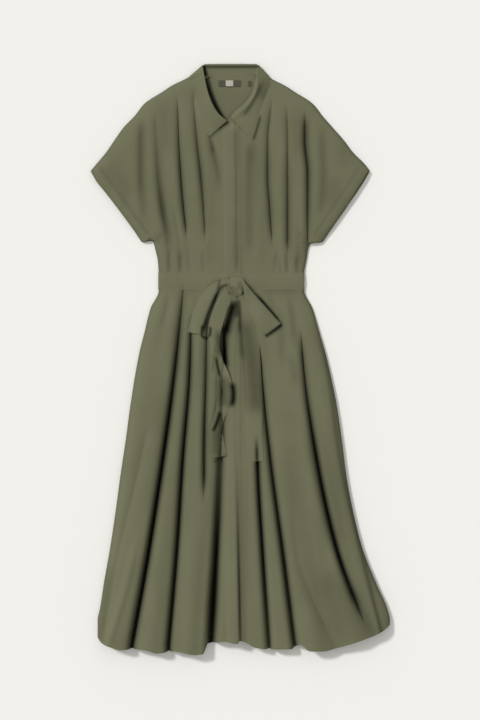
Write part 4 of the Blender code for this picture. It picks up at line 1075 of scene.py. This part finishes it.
# Spun polyester sewing thread, dyed to match: round and faintly shiny.
sewing_thread = woven(
    "spun_polyester_thread",
    THREAD_DEEP,
    THREAD_LIGHT,
    rib=0.8,
    crinkle=0.1,
    roughness=0.55,
    sheen=0.05,
    specular=0.22,
)

# ---------------------------------------------------------------- panels

BODICE_ROWS = spread((SHOULDER_TOP, 388, 60), (388, 252, 40), (252, 232, 16), (232, WAIST_LINE + GAP / 2, 26))
SKIRT_ROWS = spread((WAIST_LINE - GAP / 2, 20, 46), (20, HEM_LINE, 150))
BACK_ROWS = spread((BACK_CORNER - 12, 252, 64), (252, 232, 10), (232, WAIST_LINE + GAP / 2, 16))
# The columns of a front stand between its edges and its valleys: the least distance of two of these on a row,
# the number of columns from one to the next, and how much they crowd towards both.
BODICE_COLUMNS = (9.0, 22, 0.55)
SKIRT_COLUMNS = (12.0, 28, 0.6)
BACK_COLUMNS = 120
BAND_COLUMNS, BAND_ROWS = 14, 120
BAND_STARTS = 3.0  # above the end of the neckline
BAND_UNDER_BELT = 12.0
SHELL_LIFT = 0.3  # of the thin cloth inside the room that the part gives it


def bodice_front(side):
    """A front of the bodice with the front of its sleeve."""
    heights = BODICE_ROWS
    edge = front_edge(heights)
    seam = neckline(np.minimum(heights, NECK_CORNER[side]), side)
    tip = SHOULDER_TIP + (SHOULDER_TOP - heights) * SHOULDER_TIP_SLANT
    if side == "left":
        outer = outline(heights, "left")
        inner = np.where(heights > NECK_END, seam - NECK_ALLOWANCE, edge)
        inner = np.where(heights > NECK_CORNER["left"], outer + tip, inner)
        paths = [bodice_path(fold, heights) for fold in LEFT_BODICE_FOLDS]
        knots = [outer] + paths + [inner - UNDERLAP - EDGE_STRIP, inner]
    else:
        shows = RIGHT_SLEEVE_SHOWS * ease(heights, *SHOWS_LOW) * ease(heights, *SHOWS_HIGH)
        outer = outline(heights, "right") - shows
        inner = np.where(heights > RIGHT_NECK_END, seam + NECK_ALLOWANCE, edge - UNDERLAP)
        inner = np.where(heights > NECK_CORNER["right"], outer - tip, inner)
        paths = [bodice_path(fold, heights) for fold in RIGHT_BODICE_FOLDS]
        knots = [inner, inner + UNDERLAP + EDGE_STRIP] + paths + [outer]
    x = between(knots, *BODICE_COLUMNS)
    y = np.broadcast_to(heights, x.shape)
    z = left_front_under(x, y) if side == "left" else right_front_under(x, y)
    points = np.stack([x, notched(x, y), z], axis=2)
    # Its colour carries painted shade in its valleys, along its sides and under what lies on it.
    return cloth(f"twill_bodice_front_{side}", points, olive_twill, lift=SHELL_LIFT, shade=front_shade(x, y))


def skirt_front(side):
    """A front of the skirt, whose rows bend towards the curve of the hem."""
    heights = SKIRT_ROWS
    folds = LEFT_SKIRT_FOLDS if side == "left" else RIGHT_SKIRT_FOLDS
    paths = [along_rows(lambda y, fold=fold: skirt_path(fold, y), heights) for fold in folds]
    outer = along_rows(lambda y: outline(y, side), heights)
    edge = along_rows(front_edge, heights)
    under = along_rows(lambda y: front_edge(y) - underlap(y), heights)
    if side == "left":
        knots = [outer] + paths + [under - EDGE_STRIP, edge]
    else:
        knots = [under, edge + EDGE_STRIP] + paths + [outer]
    x = between(knots, *SKIRT_COLUMNS)
    y = heights[0] + (hem_height(x[:, -1:]) - heights[0]) * way_down(heights)
    z = left_front_under(x, y) if side == "left" else right_front_under(x, y)
    points = np.stack([x, y, z], axis=2)
    # Its colour carries painted shade in its valleys, along its sides and under what lies on it.
    return cloth(f"twill_skirt_front_{side}", points, olive_twill, lift=SHELL_LIFT, shade=front_shade(x, y))


def back_neck(across):
    """The height of the back panel's top edge, which follows the seam of the collar."""
    rows = [row for row in COLLAR_SECTIONS if "back" in row.name or "fold_under" in row.name]
    points = [(outline(BACK_CORNER, "left"), BACK_CORNER)]
    points += [(row.seam_x, row.seam_y + SEAM_UNDER) for row in rows]
    points += [(outline(BACK_CORNER, "right"), BACK_CORNER)]
    return flowing([float(x) for x, _ in points], [y for _, y in points], across)


def bodice_back():
    """The back of the bodice with the backs of both sleeves."""
    heights = np.concatenate([[BACK_CORNER], BACK_ROWS])
    left = outline(heights, "left")
    right = outline(heights, "right")
    x = left + (right - left) * np.linspace(0, 1, BACK_COLUMNS)[:, None]
    y = np.array(np.broadcast_to(heights, x.shape))
    y[:, 0] = back_neck(x[:, 0])
    # Painted shadow of the collar's left roll on the inside of the back.
    shade = shade_of_creases(NECK_PAINTED_SHADE, x, y)
    points = np.stack([x, notched(x, y), back_under(x, y)], axis=2)
    return cloth("twill_bodice_back", points, olive_twill, shade=shade)


def skirt_back():
    """The back of the skirt, whose hem is a little higher than the front's."""
    heights = SKIRT_ROWS[::2]
    left = along_rows(lambda y: outline(y, "left"), heights, BACK_HEM_RISE)
    right = along_rows(lambda y: outline(y, "right"), heights, BACK_HEM_RISE)
    x = left + (right - left) * np.linspace(0, 1, BACK_COLUMNS)[:, None]
    y = heights[0] + (hem_height(x[:, -1:]) + BACK_HEM_RISE - heights[0]) * way_down(heights)
    return cloth("twill_skirt_back", np.stack([x, y, back_under(x, y)], axis=2), olive_twill)


def button_band():
    """The fly's band on the left front, from the neck to below the belt."""
    heights = np.linspace(NECK_END + BAND_STARTS, WAIST_LINE + BELT_WIDTH / 2 - BAND_UNDER_BELT, BAND_ROWS)
    shares = np.linspace(0, 1, BAND_COLUMNS)[:, None]
    x = front_edge(heights) - PLACKET_WIDTH * (1 - shares)
    y = np.broadcast_to(heights, x.shape)
    z = front_top(x, y, BAND_REACH) - BAND_SUNK - BAND_EDGE_DROP * ease(shares, *BAND_EDGE)
    # Painted shade below the collar and along the front edge.
    shade = shade_of_creases(COLLAR_PAINTED_SHADE, x, y)
    return cloth("twill_button_band", np.stack([x, y, z], axis=2), olive_twill, BAND_CLOTH, shade=shade)


# ---------------------------------------------------------------- collar

STAND_COLUMNS, STAND_ROWS = 161, 12
LEAF_COLUMNS, LEAF_FINE_ROWS = 201, 37
LABEL_COLUMNS, LABEL_ROWS = 28, 14
LABEL_WAVE = (0.12, 0.55, 0.3)  # height, and radians to a mm across and along
LABEL_LIFT = 0.2


def collar_curves(columns):
    """The seam, roll and outer edge in so many columns, and how much each lies on the front or behind."""
    step = np.arange(len(COLLAR_SECTIONS))
    fine = np.linspace(0, len(COLLAR_SECTIONS) - 1, columns)
    seam = np.stack([flowing(step, column(COLLAR_SECTIONS, f"seam_{axis}"), fine) for axis in "xyz"], axis=1)
    roll = np.stack([flowing(step, column(COLLAR_SECTIONS, f"roll_{axis}"), fine) for axis in "xyz"], axis=1)
    on_front = np.array([row.edge_z is ON_FRONT for row in COLLAR_SECTIONS])
    heights = [row.edge_z if row.edge_z else CLOTH + LAYER + CLOTH for row in COLLAR_SECTIONS]
    edge = np.stack([flowing(step, column(COLLAR_SECTIONS, f"edge_{axis}"), fine) for axis in "xy"], axis=1)
    edge = np.column_stack([edge, flowing(step, heights, fine)])
    behind = np.array([not front and height < CLOTH for front, height in zip(on_front, heights)])
    return seam, roll, edge, flowing(step, on_front * 1.0, fine), flowing(step, behind * 1.0, fine)


def collar_stand():
    """The stand, which rises from the seam to just below the roll."""
    seam, roll, _, _, _ = collar_curves(STAND_COLUMNS)
    top = seam + (roll - seam) * STAND_SHARE
    top[:, 2] = roll[:, 2] - STAND_DROP
    points = np.array([seam + (top - seam) * share for share in np.linspace(0, 1, STAND_ROWS)])
    # Painted shadows of the collar's rolls on the stand.
    shade = shade_of_creases(STAND_PAINTED_SHADE, points[:, :, 0], points[:, :, 1])
    return cloth("twill_collar_stand", points, olive_twill, DOUBLED, side=0.0, shade=shade)


def collar_leaf():
    """The leaf, which rolls over the stand, lies on the fronts and turns under behind the neck."""
    seam, roll, edge, on_front, behind = collar_curves(LEAF_COLUMNS)
    outward = edge - roll
    outward[:, 2] = 0
    outward /= np.linalg.norm(outward, axis=1)[:, None]
    row_step = np.arange(len(LEAF_ROWS))
    fine_rows = np.linspace(0, len(LEAF_ROWS) - 1, LEAF_FINE_ROWS)
    shares = flowing(row_step, column(LEAF_ROWS, "share"), fine_rows)
    bulges = flowing(row_step, column(LEAF_ROWS, "bulge"), fine_rows)
    drops = flowing(row_step, column(LEAF_ROWS, "drop"), fine_rows)
    points = np.zeros((len(fine_rows), len(roll), 3))
    for row, (share, bulge, drop) in enumerate(zip(shares, bulges, drops)):
        if share < 0:
            points[row] = roll + (seam - roll) * -share * LEAF_INSIDE
            points[row, :, 2] = roll[:, 2] - drop
            continue
        points[row] = roll + (edge - roll) * share
        down = ease(share, 0.0, 1.0)
        lying = front_top(points[row, :, 0], points[row, :, 1], LEAF_REACH) + LEAF_ROOM
        lies = np.maximum(lying, roll[:, 2] * (1 - down) + lying * down)
        under = roll[:, 2] + (edge[:, 2] - roll[:, 2]) * min(share / LEAF_TURNED, 1.0)
        folded = roll[:, 2] + (edge[:, 2] - roll[:, 2]) * share
        off_front = under * behind + folded * (1 - behind)
        points[row, :, 2] = lies * on_front + off_front * (1 - on_front) - drop
        points[row, :, 2] = np.maximum(points[row, :, 2], LEAF_CLOTH / 2)
        points[row] -= outward * (bulge * behind)[:, None]
    # Painted shade beside the right roll and on the right shoulder.
    shade = shade_of_creases(LEAF_PAINTED_SHADE, points[:, :, 0], points[:, :, 1])
    return cloth("twill_collar_leaf", points, olive_twill, LEAF_CLOTH, side=0.0, shade=shade)


def neck_piece(name, middle, size, lift, material):
    """A small flat piece on the inside of the back neck, its ends lifted a little by the sewing."""
    x = middle[0] + size[0] * np.linspace(-0.5, 0.5, LABEL_COLUMNS)
    y = middle[1] + size[1] * np.linspace(-0.5, 0.5, LABEL_ROWS)
    x, y = np.meshgrid(x, y, indexing="ij")
    high, across, along = LABEL_WAVE
    wave = high * np.sin((x - middle[0]) * across) * np.cos((y - middle[1]) * along)
    z = back_under(x, y) + CLOTH + lift + wave
    return cloth(name, np.stack([x, y, z], axis=2), material, LABEL_CLOTH, lift=LABEL_LIFT)


# ---------------------------------------------------------------- belt and bow

BELT_COLUMNS, BELT_ROWS = 171, 15
BELT_CROWDING = 0.12  # of its columns, towards its rounded ends
BELT_BACK_COLUMNS, BELT_BACK_ROWS = 60, 9
LOOP_ROWS, LOOP_TURN_ROWS, LOOP_ACROSS = 44, 11, 15
LOOP_STEPS = 1.25  # more than 1 for rows that crowd towards the loop's end
LOOP_BELLY = (0.8, 0.7)  # powers that put a loop's fullest place nearer the knot and make it full
KNOT_COLUMNS = 60
KNOT_WRAP = (0.7, 4.2, 1.1)  # height of the wrap's swell, and how it turns across and up
KNOT_CREASE = (0.35, 0.3, 0.17)  # of the wrap's edge: its place, its slant and its width, in half knots
KNOT_RIM = 0.55  # share of the way out from which the knot comes down
TAIL_ROWS, TAIL_ACROSS = 150, 13
TAIL_EDGE_POWER = 3  # the higher, the nearer the edges the tail comes down


def belt_ends():
    """The X of the left and the right end of the laid belt."""
    return outline(WAIST_LINE, "left") - BELT_OVERHANG, outline(WAIST_LINE, "right") + BELT_OVERHANG


def belt_front():
    """The front of the belt, which bridges the fronts' folds and eases down onto them along its edges."""
    left, right = belt_ends()
    turn = np.linspace(0, 1, BELT_COLUMNS)
    x = left + (right - left) * (turn - np.sin(2 * np.pi * turn) * BELT_CROWDING)
    x, y = np.meshgrid(x, WAIST_LINE + BELT_WIDTH * np.linspace(-0.5, 0.5, BELT_ROWS), indexing="ij")
    ends = rounded(np.minimum(x - left, right - x), BELT_ROUND)
    z = LAYER + (front_top(x, y, BELT_REACH) - CLOTH) * ends
    inside = (x > left + 1) & (x < right - 1)
    z = np.where(inside, np.maximum(z, front_top(x, y, PIECE_REACH) + GAP), z)
    edge = 1 - ease(BELT_WIDTH / 2 - np.abs(y - WAIST_LINE), -2.0, BELT_EDGE_ROUND)
    close = np.minimum(front_top(x, y, BAND_REACH) - BELT_EDGE_SUNK, z)
    z = np.where(inside, z * (1 - edge) + close * edge, z)
    # Painted shadows of the bow and the knot on the belt.
    shade = shade_of_creases(BOW_PAINTED_SHADE + KNOT_PAINTED_SHADE, x, y)
    return cloth("twill_belt_front", np.stack([x, y, z], axis=2), olive_twill, BELT_CLOTH, shade=shade)


def belt_back():
    """The back of the belt, flat on the floor."""
    x = np.linspace(*belt_ends(), BELT_BACK_COLUMNS)
    y = WAIST_LINE + BELT_WIDTH * np.linspace(-0.5, 0.5, BELT_BACK_ROWS)
    x, y = np.meshgrid(x, y, indexing="ij")
    return cloth("twill_belt_back", np.stack([x, y, np.zeros_like(x)], axis=2), olive_twill, BELT_CLOTH)


def knot_base():
    """The height of the underside of the knot, which lies on the belt and on the tails that leave it."""
    foot = np.linspace(-0.4, 0.4, 5)
    x, y = np.meshgrid(KNOT_MIDDLE[0] + KNOT_SIZE[0] * foot, WAIST_LINE + BELT_WIDTH * foot)
    return float(front_top(x, y, BELT_REACH).max()) + 2 * LAYER


KNOT_BASE = knot_base()


def bow_loop(side, edges):
    """A ribbon that leaves the knot, turns back at its end and returns below itself."""
    out = 1 - (1 - np.linspace(0, 1, LOOP_ROWS)) ** LOOP_STEPS
    out = out * (1 - LOOP_TURN)
    turning = np.linspace(0, np.pi, LOOP_TURN_ROWS + 2)[1:-1]
    reach = np.concatenate([out, 1 - LOOP_TURN + LOOP_TURN * np.sin(turning), out[::-1]])
    upper = np.concatenate([np.ones(LOOP_ROWS), (1 + np.cos(turning)) / 2, np.zeros(LOOP_ROWS)])
    stations = column(edges, "reach")
    outer = np.stack([flowing(stations, column(edges, f"outer_{axis}"), reach) for axis in "xy"])
    inner = np.stack([flowing(stations, column(edges, f"inner_{axis}"), reach) for axis in "xy"])
    nearer, fuller = LOOP_BELLY
    opened = LOOP_OPEN[side] * np.sin(np.pi * np.clip(reach, 0, 1) ** nearer) ** fuller + LOOP_PINCH[side]
    across = np.linspace(0, 1, LOOP_ACROSS)
    points = np.zeros((len(across), len(reach), 3))
    for row, part in enumerate(across):
        flat = outer + (inner - outer) * part
        sunk = (part if side == "right" else 1 - part) ** 2 * ease(reach, *LOOP_SINKS)
        close = (front_top(flat[0], flat[1], BAND_REACH) - LOOP_EDGE_SUNK) * sunk
        bridging = front_top(flat[0], flat[1], TAIL_REACH) * (1 - sunk)
        low = bridging + close + LOOP_FLOOR[side] * (1 - sunk)
        over_foot = np.maximum(KNOT_BASE + LOOP_OVER_KNOT_FOOT - low, 0)
        low = low + over_foot * (1 - ease(reach, 0.0, LOOP_COMES_DOWN))
        hollow = opened * (1 - LOOP_EDGES_DROP * (2 * part - 1) ** 2)
        gathered = LOOP_GATHERS * (1 - reach) ** 3 * np.cos(3 * np.pi * part)
        points[row, :, 0] = flat[0]
        points[row, :, 1] = flat[1]
        points[row, :, 2] = low + hollow * upper * (1 - sunk) + gathered
    # Painted shadows where the ribbons lie close, and painted shade near the knot.
    shade = shade_of_creases(BOW_PAINTED_SHADE, points[:, :, 0], points[:, :, 1])
    return cloth(f"twill_bow_loop_{side}", points, olive_twill, BELT_CLOTH, side=0.0, shade=shade)


def belt_knot():
    """The knot: soft cloth drawn together over the belt, round in outline, with the folds of its own wrap."""
    u, v = np.meshgrid(*[np.linspace(-1, 1, KNOT_COLUMNS)] * 2, indexing="ij")
    across = u * np.sqrt(1 - KNOT_ROUND * v * v / 2)
    up = v * np.sqrt(1 - KNOT_ROUND * u * u / 2)
    out = np.clip(np.maximum(np.abs(u), np.abs(v)), 0, 1)
    full = (1 - out**2) ** KNOT_FULLNESS
    swell, turns_across, turns_up = KNOT_WRAP
    place, slant, width = KNOT_CREASE
    swelling = swell * np.cos(turns_across * across + turns_up * up) * full
    wraps = swelling - np.exp(-(((across - slant * up - place) / width) ** 2)) * full
    x = KNOT_MIDDLE[0] + across * KNOT_SIZE[0] / 2
    y = KNOT_MIDDLE[1] + up * KNOT_SIZE[1] / 2
    over_loops = KNOT_OVER_LOOPS * np.exp(-(((y - LOOPS_LEAVE) / LOOPS_HIGH) ** 2))
    foot = ease(out, KNOT_RIM, 1.0) * (over_loops - KNOT_FOOT)
    z = KNOT_BASE + KNOT_SIZE[2] * full + wraps + foot
    # Painted shade in the knot's hollows and turns.
    shade = shade_of_creases(KNOT_PAINTED_SHADE, x, y)
    return cloth("twill_belt_knot", np.stack([x, y, z], axis=2), olive_twill, BELT_CLOTH, shade=shade)


def tail(side, route):
    """A ribbon that lies on the skirt, turned partly on edge where it shows narrow."""
    station = np.linspace(0, 1, len(route))
    fine = np.linspace(0, 1, TAIL_ROWS)
    x, y, shown, turn = [flowing(station, column(route, name), fine) for name in TailPoint._fields]
    tangent = np.stack([np.gradient(x), np.gradient(y)], axis=1)
    tangent /= np.linalg.norm(tangent, axis=1)[:, None]
    lean = np.sqrt(np.clip(1 - (shown / BELT_WIDTH) ** 2, 0, 1)) * turn
    across = np.linspace(-0.5, 0.5, TAIL_ACROSS)
    points = np.zeros((len(across), len(fine), 3))
    lying = front_top(x, y, TAIL_REACH)
    near = ease(y, TAIL_HIGH, TAIL_LOW)
    for row, part in enumerate(across):
        points[row, :, 0] = x - tangent[:, 1] * shown * part
        points[row, :, 1] = y + tangent[:, 0] * shown * part
        at_edge = np.abs(2 * part) ** TAIL_EDGE_POWER
        height = BELT_WIDTH * (np.abs(lean) * 0.5 + lean * part) * TAIL_LIFT
        height = height - TAIL_EDGE_DROP * np.maximum(at_edge, ease(fine, *TAIL_END))
        close = front_top(points[row, :, 0], points[row, :, 1], BAND_REACH)
        bridged = front_top(points[row, :, 0], points[row, :, 1], PIECE_REACH)
        local = bridged + (close - bridged) * at_edge
        points[row, :, 2] = np.maximum(lying, local) * (1 - near) + local * near + BELT_CLOTH / 2 + height
    # Painted shadows and shade of the bow and the twisting tail.
    shade = shade_of_creases(BOW_PAINTED_SHADE + TAIL_PAINTED_SHADE, points[:, :, 0], points[:, :, 1])
    return cloth(f"twill_tie_tail_{side}", points, olive_twill, BELT_CLOTH, side=0.0, shade=shade)


# ---------------------------------------------------------------- the dress, put together

PATCH_LIES = GAP + LABEL_THICK + GAP  # above the back neck
pieces = {
    "bodice_back": bodice_back(),
    "skirt_back": skirt_back(),
    "bodice_front_left": bodice_front("left"),
    "bodice_front_right": bodice_front("right"),
    "skirt_front_left": skirt_front("left"),
    "skirt_front_right": skirt_front("right"),
    "placket": button_band(),
    "collar_stand": collar_stand(),
    "collar_leaf": collar_leaf(),
    "neck_label": neck_piece("neck_label_tape", LABEL_MIDDLE, LABEL_SIZE, GAP, label_tape),
    "label_patch": neck_piece("neck_label_patch", PATCH_MIDDLE, PATCH_SIZE, PATCH_LIES, label_patch),
    "size_tab": neck_piece("neck_size_tab", SIZE_TAB_MIDDLE, SIZE_TAB_SIZE, GAP, label_tape),
    "belt_back": belt_back(),
    "belt_front": belt_front(),
    "belt_knot": belt_knot(),
    "bow_loop_left": bow_loop("left", LEFT_LOOP),
    "bow_loop_right": bow_loop("right", RIGHT_LOOP),
    "tie_tail_left": tail("left", LEFT_TAIL),
    "tie_tail_right": tail("right", RIGHT_TAIL),
}
for node, piece in pieces.items():
    belongs(piece, node)

# ---------------------------------------------------------------- sewing

STITCH_LONG, STITCH_GAP, STITCH_THICK = 2.7, 0.8, 0.5
STITCH_DIPS = 1.6  # a stitch's ends dip by a quarter of this, in thicknesses of the thread
STITCH_PROUD = 0.2  # of its thickness, above the cloth
FIRST_STITCH = 1.0
SEAM_STEP = 0.5  # between the places at which a row is laid onto its piece
ABOVE_ALL = 0.2  # metres
SKIRT_HEM_DEEP = 18.0
LEFT_HEM_SEWN = (-284.0, -7.0)
RIGHT_HEM_SEWN = (6.0, 299.0)
BAND_SEWN_IN = 23.0
BAND_SEWN_PAST = (8.0, 3.0)  # of the end of the neckline, and of the belt's upper edge
LEAF_SEWN_IN = 5.0
LABEL_SEWN_IN = 1.6
LABEL_TACK = 10.0


def leaf_stitch_line(side):
    """The line inside the edge of the collar's leaf, from the shoulder round the point to the front."""
    rows = [row for row in COLLAR_SECTIONS if row.name.startswith(side) and row.edge_z is ON_FRONT]
    rows = sorted(rows, key=lambda row: -row.seam_y)
    edges = np.array([(row.edge_x, row.edge_y) for row in rows], float)
    rolls = np.array([(row.roll_x, row.roll_y) for row in rows], float)
    inward = (rolls - edges) / np.linalg.norm(rolls - edges, axis=1)[:, None]
    back = (edges[-2] - edges[-1]) / np.linalg.norm(edges[-2] - edges[-1])
    line = edges[:-1] + inward[:-1] * LEAF_SEWN_IN
    corner = edges[-1] + (inward[-1] + back) * LEAF_SEWN_IN
    end = rolls[-1] + back * LEAF_SEWN_IN - inward[-1] * LEAF_SEWN_IN
    return [*line, corner, end]


def hem_stitch_line(low, high):
    """The line above the hem, from one X to another."""
    across = np.linspace(low, high, 120)
    return np.stack([across, hem_height(across) + SKIRT_HEM_DEEP], axis=1)


def band_stitch_line():
    """The line along the fly's band."""
    low = WAIST_LINE + BELT_WIDTH / 2 + BAND_SEWN_PAST[1]
    heights = np.linspace(NECK_END - BAND_SEWN_PAST[0], low, 30)
    return np.stack([front_edge(heights) - BAND_SEWN_IN, heights], axis=1)


def label_stitch_line(side):
    """The tack at an end of the label."""
    across = LABEL_MIDDLE[0] + side * (LABEL_SIZE[0] / 2 - LABEL_SEWN_IN)
    return [(across, LABEL_MIDDLE[1] - LABEL_TACK / 2), (across, LABEL_MIDDLE[1] + LABEL_TACK / 2)]


StitchRow = namedtuple("StitchRow", "name node line")
STITCH_ROWS = (
    StitchRow("sleeve_hem_stitches_left", "bodice_front_left", SLEEVE_HEM_LEFT),
    StitchRow("sleeve_hem_stitches_right", "bodice_front_right", SLEEVE_HEM_RIGHT),
    StitchRow("button_band_stitches", "placket", band_stitch_line()),
    StitchRow("collar_stitches_left", "collar_leaf", leaf_stitch_line("left")),
    StitchRow("collar_stitches_right", "collar_leaf", leaf_stitch_line("right")),
    StitchRow("hem_stitches_left", "skirt_front_left", hem_stitch_line(*LEFT_HEM_SEWN)),
    StitchRow("hem_stitches_right", "skirt_front_right", hem_stitch_line(*RIGHT_HEM_SEWN)),
    StitchRow("label_stitches_left", "neck_label", label_stitch_line(-1)),
    StitchRow("label_stitches_right", "neck_label", label_stitch_line(1)),
)


def one_stitch():
    """One stitch: a thread 1 long and 1 thick whose ends dip into the cloth."""
    no_selection()
    bpy.ops.mesh.primitive_uv_sphere_add(segments=6, ring_count=5, radius=0.5, rotation=(0, np.pi / 2, 0))
    bpy.ops.object.transform_apply(location=True, rotation=True, scale=True)
    made = bpy.context.object
    for vert in made.data.vertices:
        vert.co.z -= STITCH_DIPS * vert.co.x**2
    made.data.shade_smooth()
    made.data.materials.append(sewing_thread)
    return made


def stitched(row, stitch):
    """A row of stitches along a line, each lying on the piece that it is sewn through."""
    piece = pieces[row.node]
    line = np.array(row.line, float)
    reached = np.concatenate([[0], np.cumsum(np.linalg.norm(np.diff(line, axis=0), axis=1))])
    fine = np.arange(0, reached[-1], SEAM_STEP)
    flat = np.stack([np.interp(fine, reached, line[:, 0]), np.interp(fine, reached, line[:, 1])], axis=1)
    dropped = [piece.ray_cast(Vector((x * MM, y * MM, ABOVE_ALL)), Vector((0, 0, -1))) for x, y in flat]
    lying = [(place, facing) for hit, place, facing, _ in dropped if hit]
    places = np.array([place for place, _ in lying]) / MM
    run = np.concatenate([[0], np.cumsum(np.linalg.norm(np.diff(places, axis=0), axis=1))])
    copies = []
    for start in np.arange(FIRST_STITCH, run[-1] - STITCH_LONG, STITCH_LONG + STITCH_GAP):
        both = (start, start + STITCH_LONG)
        ends = [Vector([np.interp(at, run, places[:, k]) for k in range(3)]) for at in both]
        facing = lying[int(np.searchsorted(run, start + STITCH_LONG / 2))][1]
        along = (ends[1] - ends[0]).normalized()
        aside = facing.cross(along).normalized()
        up = along.cross(aside)
        copy = stitch.copy()
        copy.data = stitch.data.copy()
        turned = Matrix((along * STITCH_LONG, aside * STITCH_THICK, up * STITCH_THICK)).transposed()
        middle = (ends[0] + ends[1]) / 2 + up * STITCH_THICK * STITCH_PROUD
        copy.matrix_world = Matrix.Translation(middle * MM) @ (turned * MM).to_4x4()
        bpy.context.scene.collection.objects.link(copy)
        copies.append(copy)
    no_selection()
    for copy in copies:
        copy.select_set(True)
    bpy.context.view_layer.objects.active = copies[0]
    bpy.ops.object.join()
    bpy.ops.object.transform_apply(location=True, rotation=True, scale=True)
    made = bpy.context.object
    made.name = made.data.name = row.name
    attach(made, "root")
    return made


bpy.context.view_layer.update()
stitch = one_stitch()
sewn = {}
for row in STITCH_ROWS:
    sewn.setdefault(row.node, []).append(stitched(row, stitch))
bpy.data.objects.remove(stitch)

# The form of a piece's cut in metres: node, greatest width and length, area, held, and what it rests on.
Cut = namedtuple("Cut", "node width length area held rests_on")

# ---------------------------------------------------------------- floor, light and camera

# In metres, but for the angle and the strengths of the light.
FLOOR_SIZE = 9.0
FLOOR_DROP = 0.0002
CAMERA_HEIGHT = 4.0
CAMERA_UP = 0.001  # towards the neck
VIEW_LENGTH = 1.476  # of the floor that the picture's long side takes in
SENSOR = 36.0  # mm
KEY_FROM = Vector((-0.62, 0.42, 0.66))  # a direction
KEY_AWAY = 4.0
KEY_STRENGTH = 1.9
KEY_SOFTNESS = 9.0  # degrees
SKY_STRENGTH = 0.6

no_selection()
bpy.ops.mesh.primitive_plane_add(size=FLOOR_SIZE, location=(0.0, 0.0, -FLOOR_DROP))
floor = bpy.context.object
floor.name = "floor"
bpy.ops.object.transform_apply(location=True, rotation=True, scale=True)
# Matt painted board: one pale warm grey.
painted_board = bpy.data.materials.new("matt_painted_board")
painted_board.use_nodes = True
board = painted_board.node_tree.nodes["Principled BSDF"]
board.inputs["Base Color"].default_value = linear("#F2F1EE")
board.inputs["Roughness"].default_value = 0.9
board.inputs["Specular IOR Level"].default_value = 0.1
floor.data.materials.append(painted_board)

camera = bpy.data.cameras.new("camera")
camera.lens = SENSOR * CAMERA_HEIGHT / VIEW_LENGTH
camera.sensor_width = SENSOR
seen_from = bpy.data.objects.new("camera", camera)
seen_from.location = (0.0, CAMERA_UP, CAMERA_HEIGHT)
bpy.context.scene.collection.objects.link(seen_from)
bpy.context.scene.camera = seen_from

# One broad soft lamp, far off at the upper left.
lamp = bpy.data.lights.new("key_upper_left", "SUN")
lamp.energy = KEY_STRENGTH
lamp.angle = np.radians(KEY_SOFTNESS)
key = bpy.data.objects.new("key_upper_left", lamp)
key.location = KEY_FROM * KEY_AWAY
key.rotation_euler = (-KEY_FROM).to_track_quat("-Z", "Y").to_euler()
bpy.context.scene.collection.objects.link(key)

# An even white sky fills the shadows.
world = bpy.data.worlds.new("studio")
bpy.context.scene.world = world
world.use_nodes = True
world.node_tree.nodes["Background"].inputs["Color"].default_value = linear("#FFFEFA")
world.node_tree.nodes["Background"].inputs["Strength"].default_value = SKY_STRENGTH
bpy.context.scene.view_settings.view_transform = "Standard"
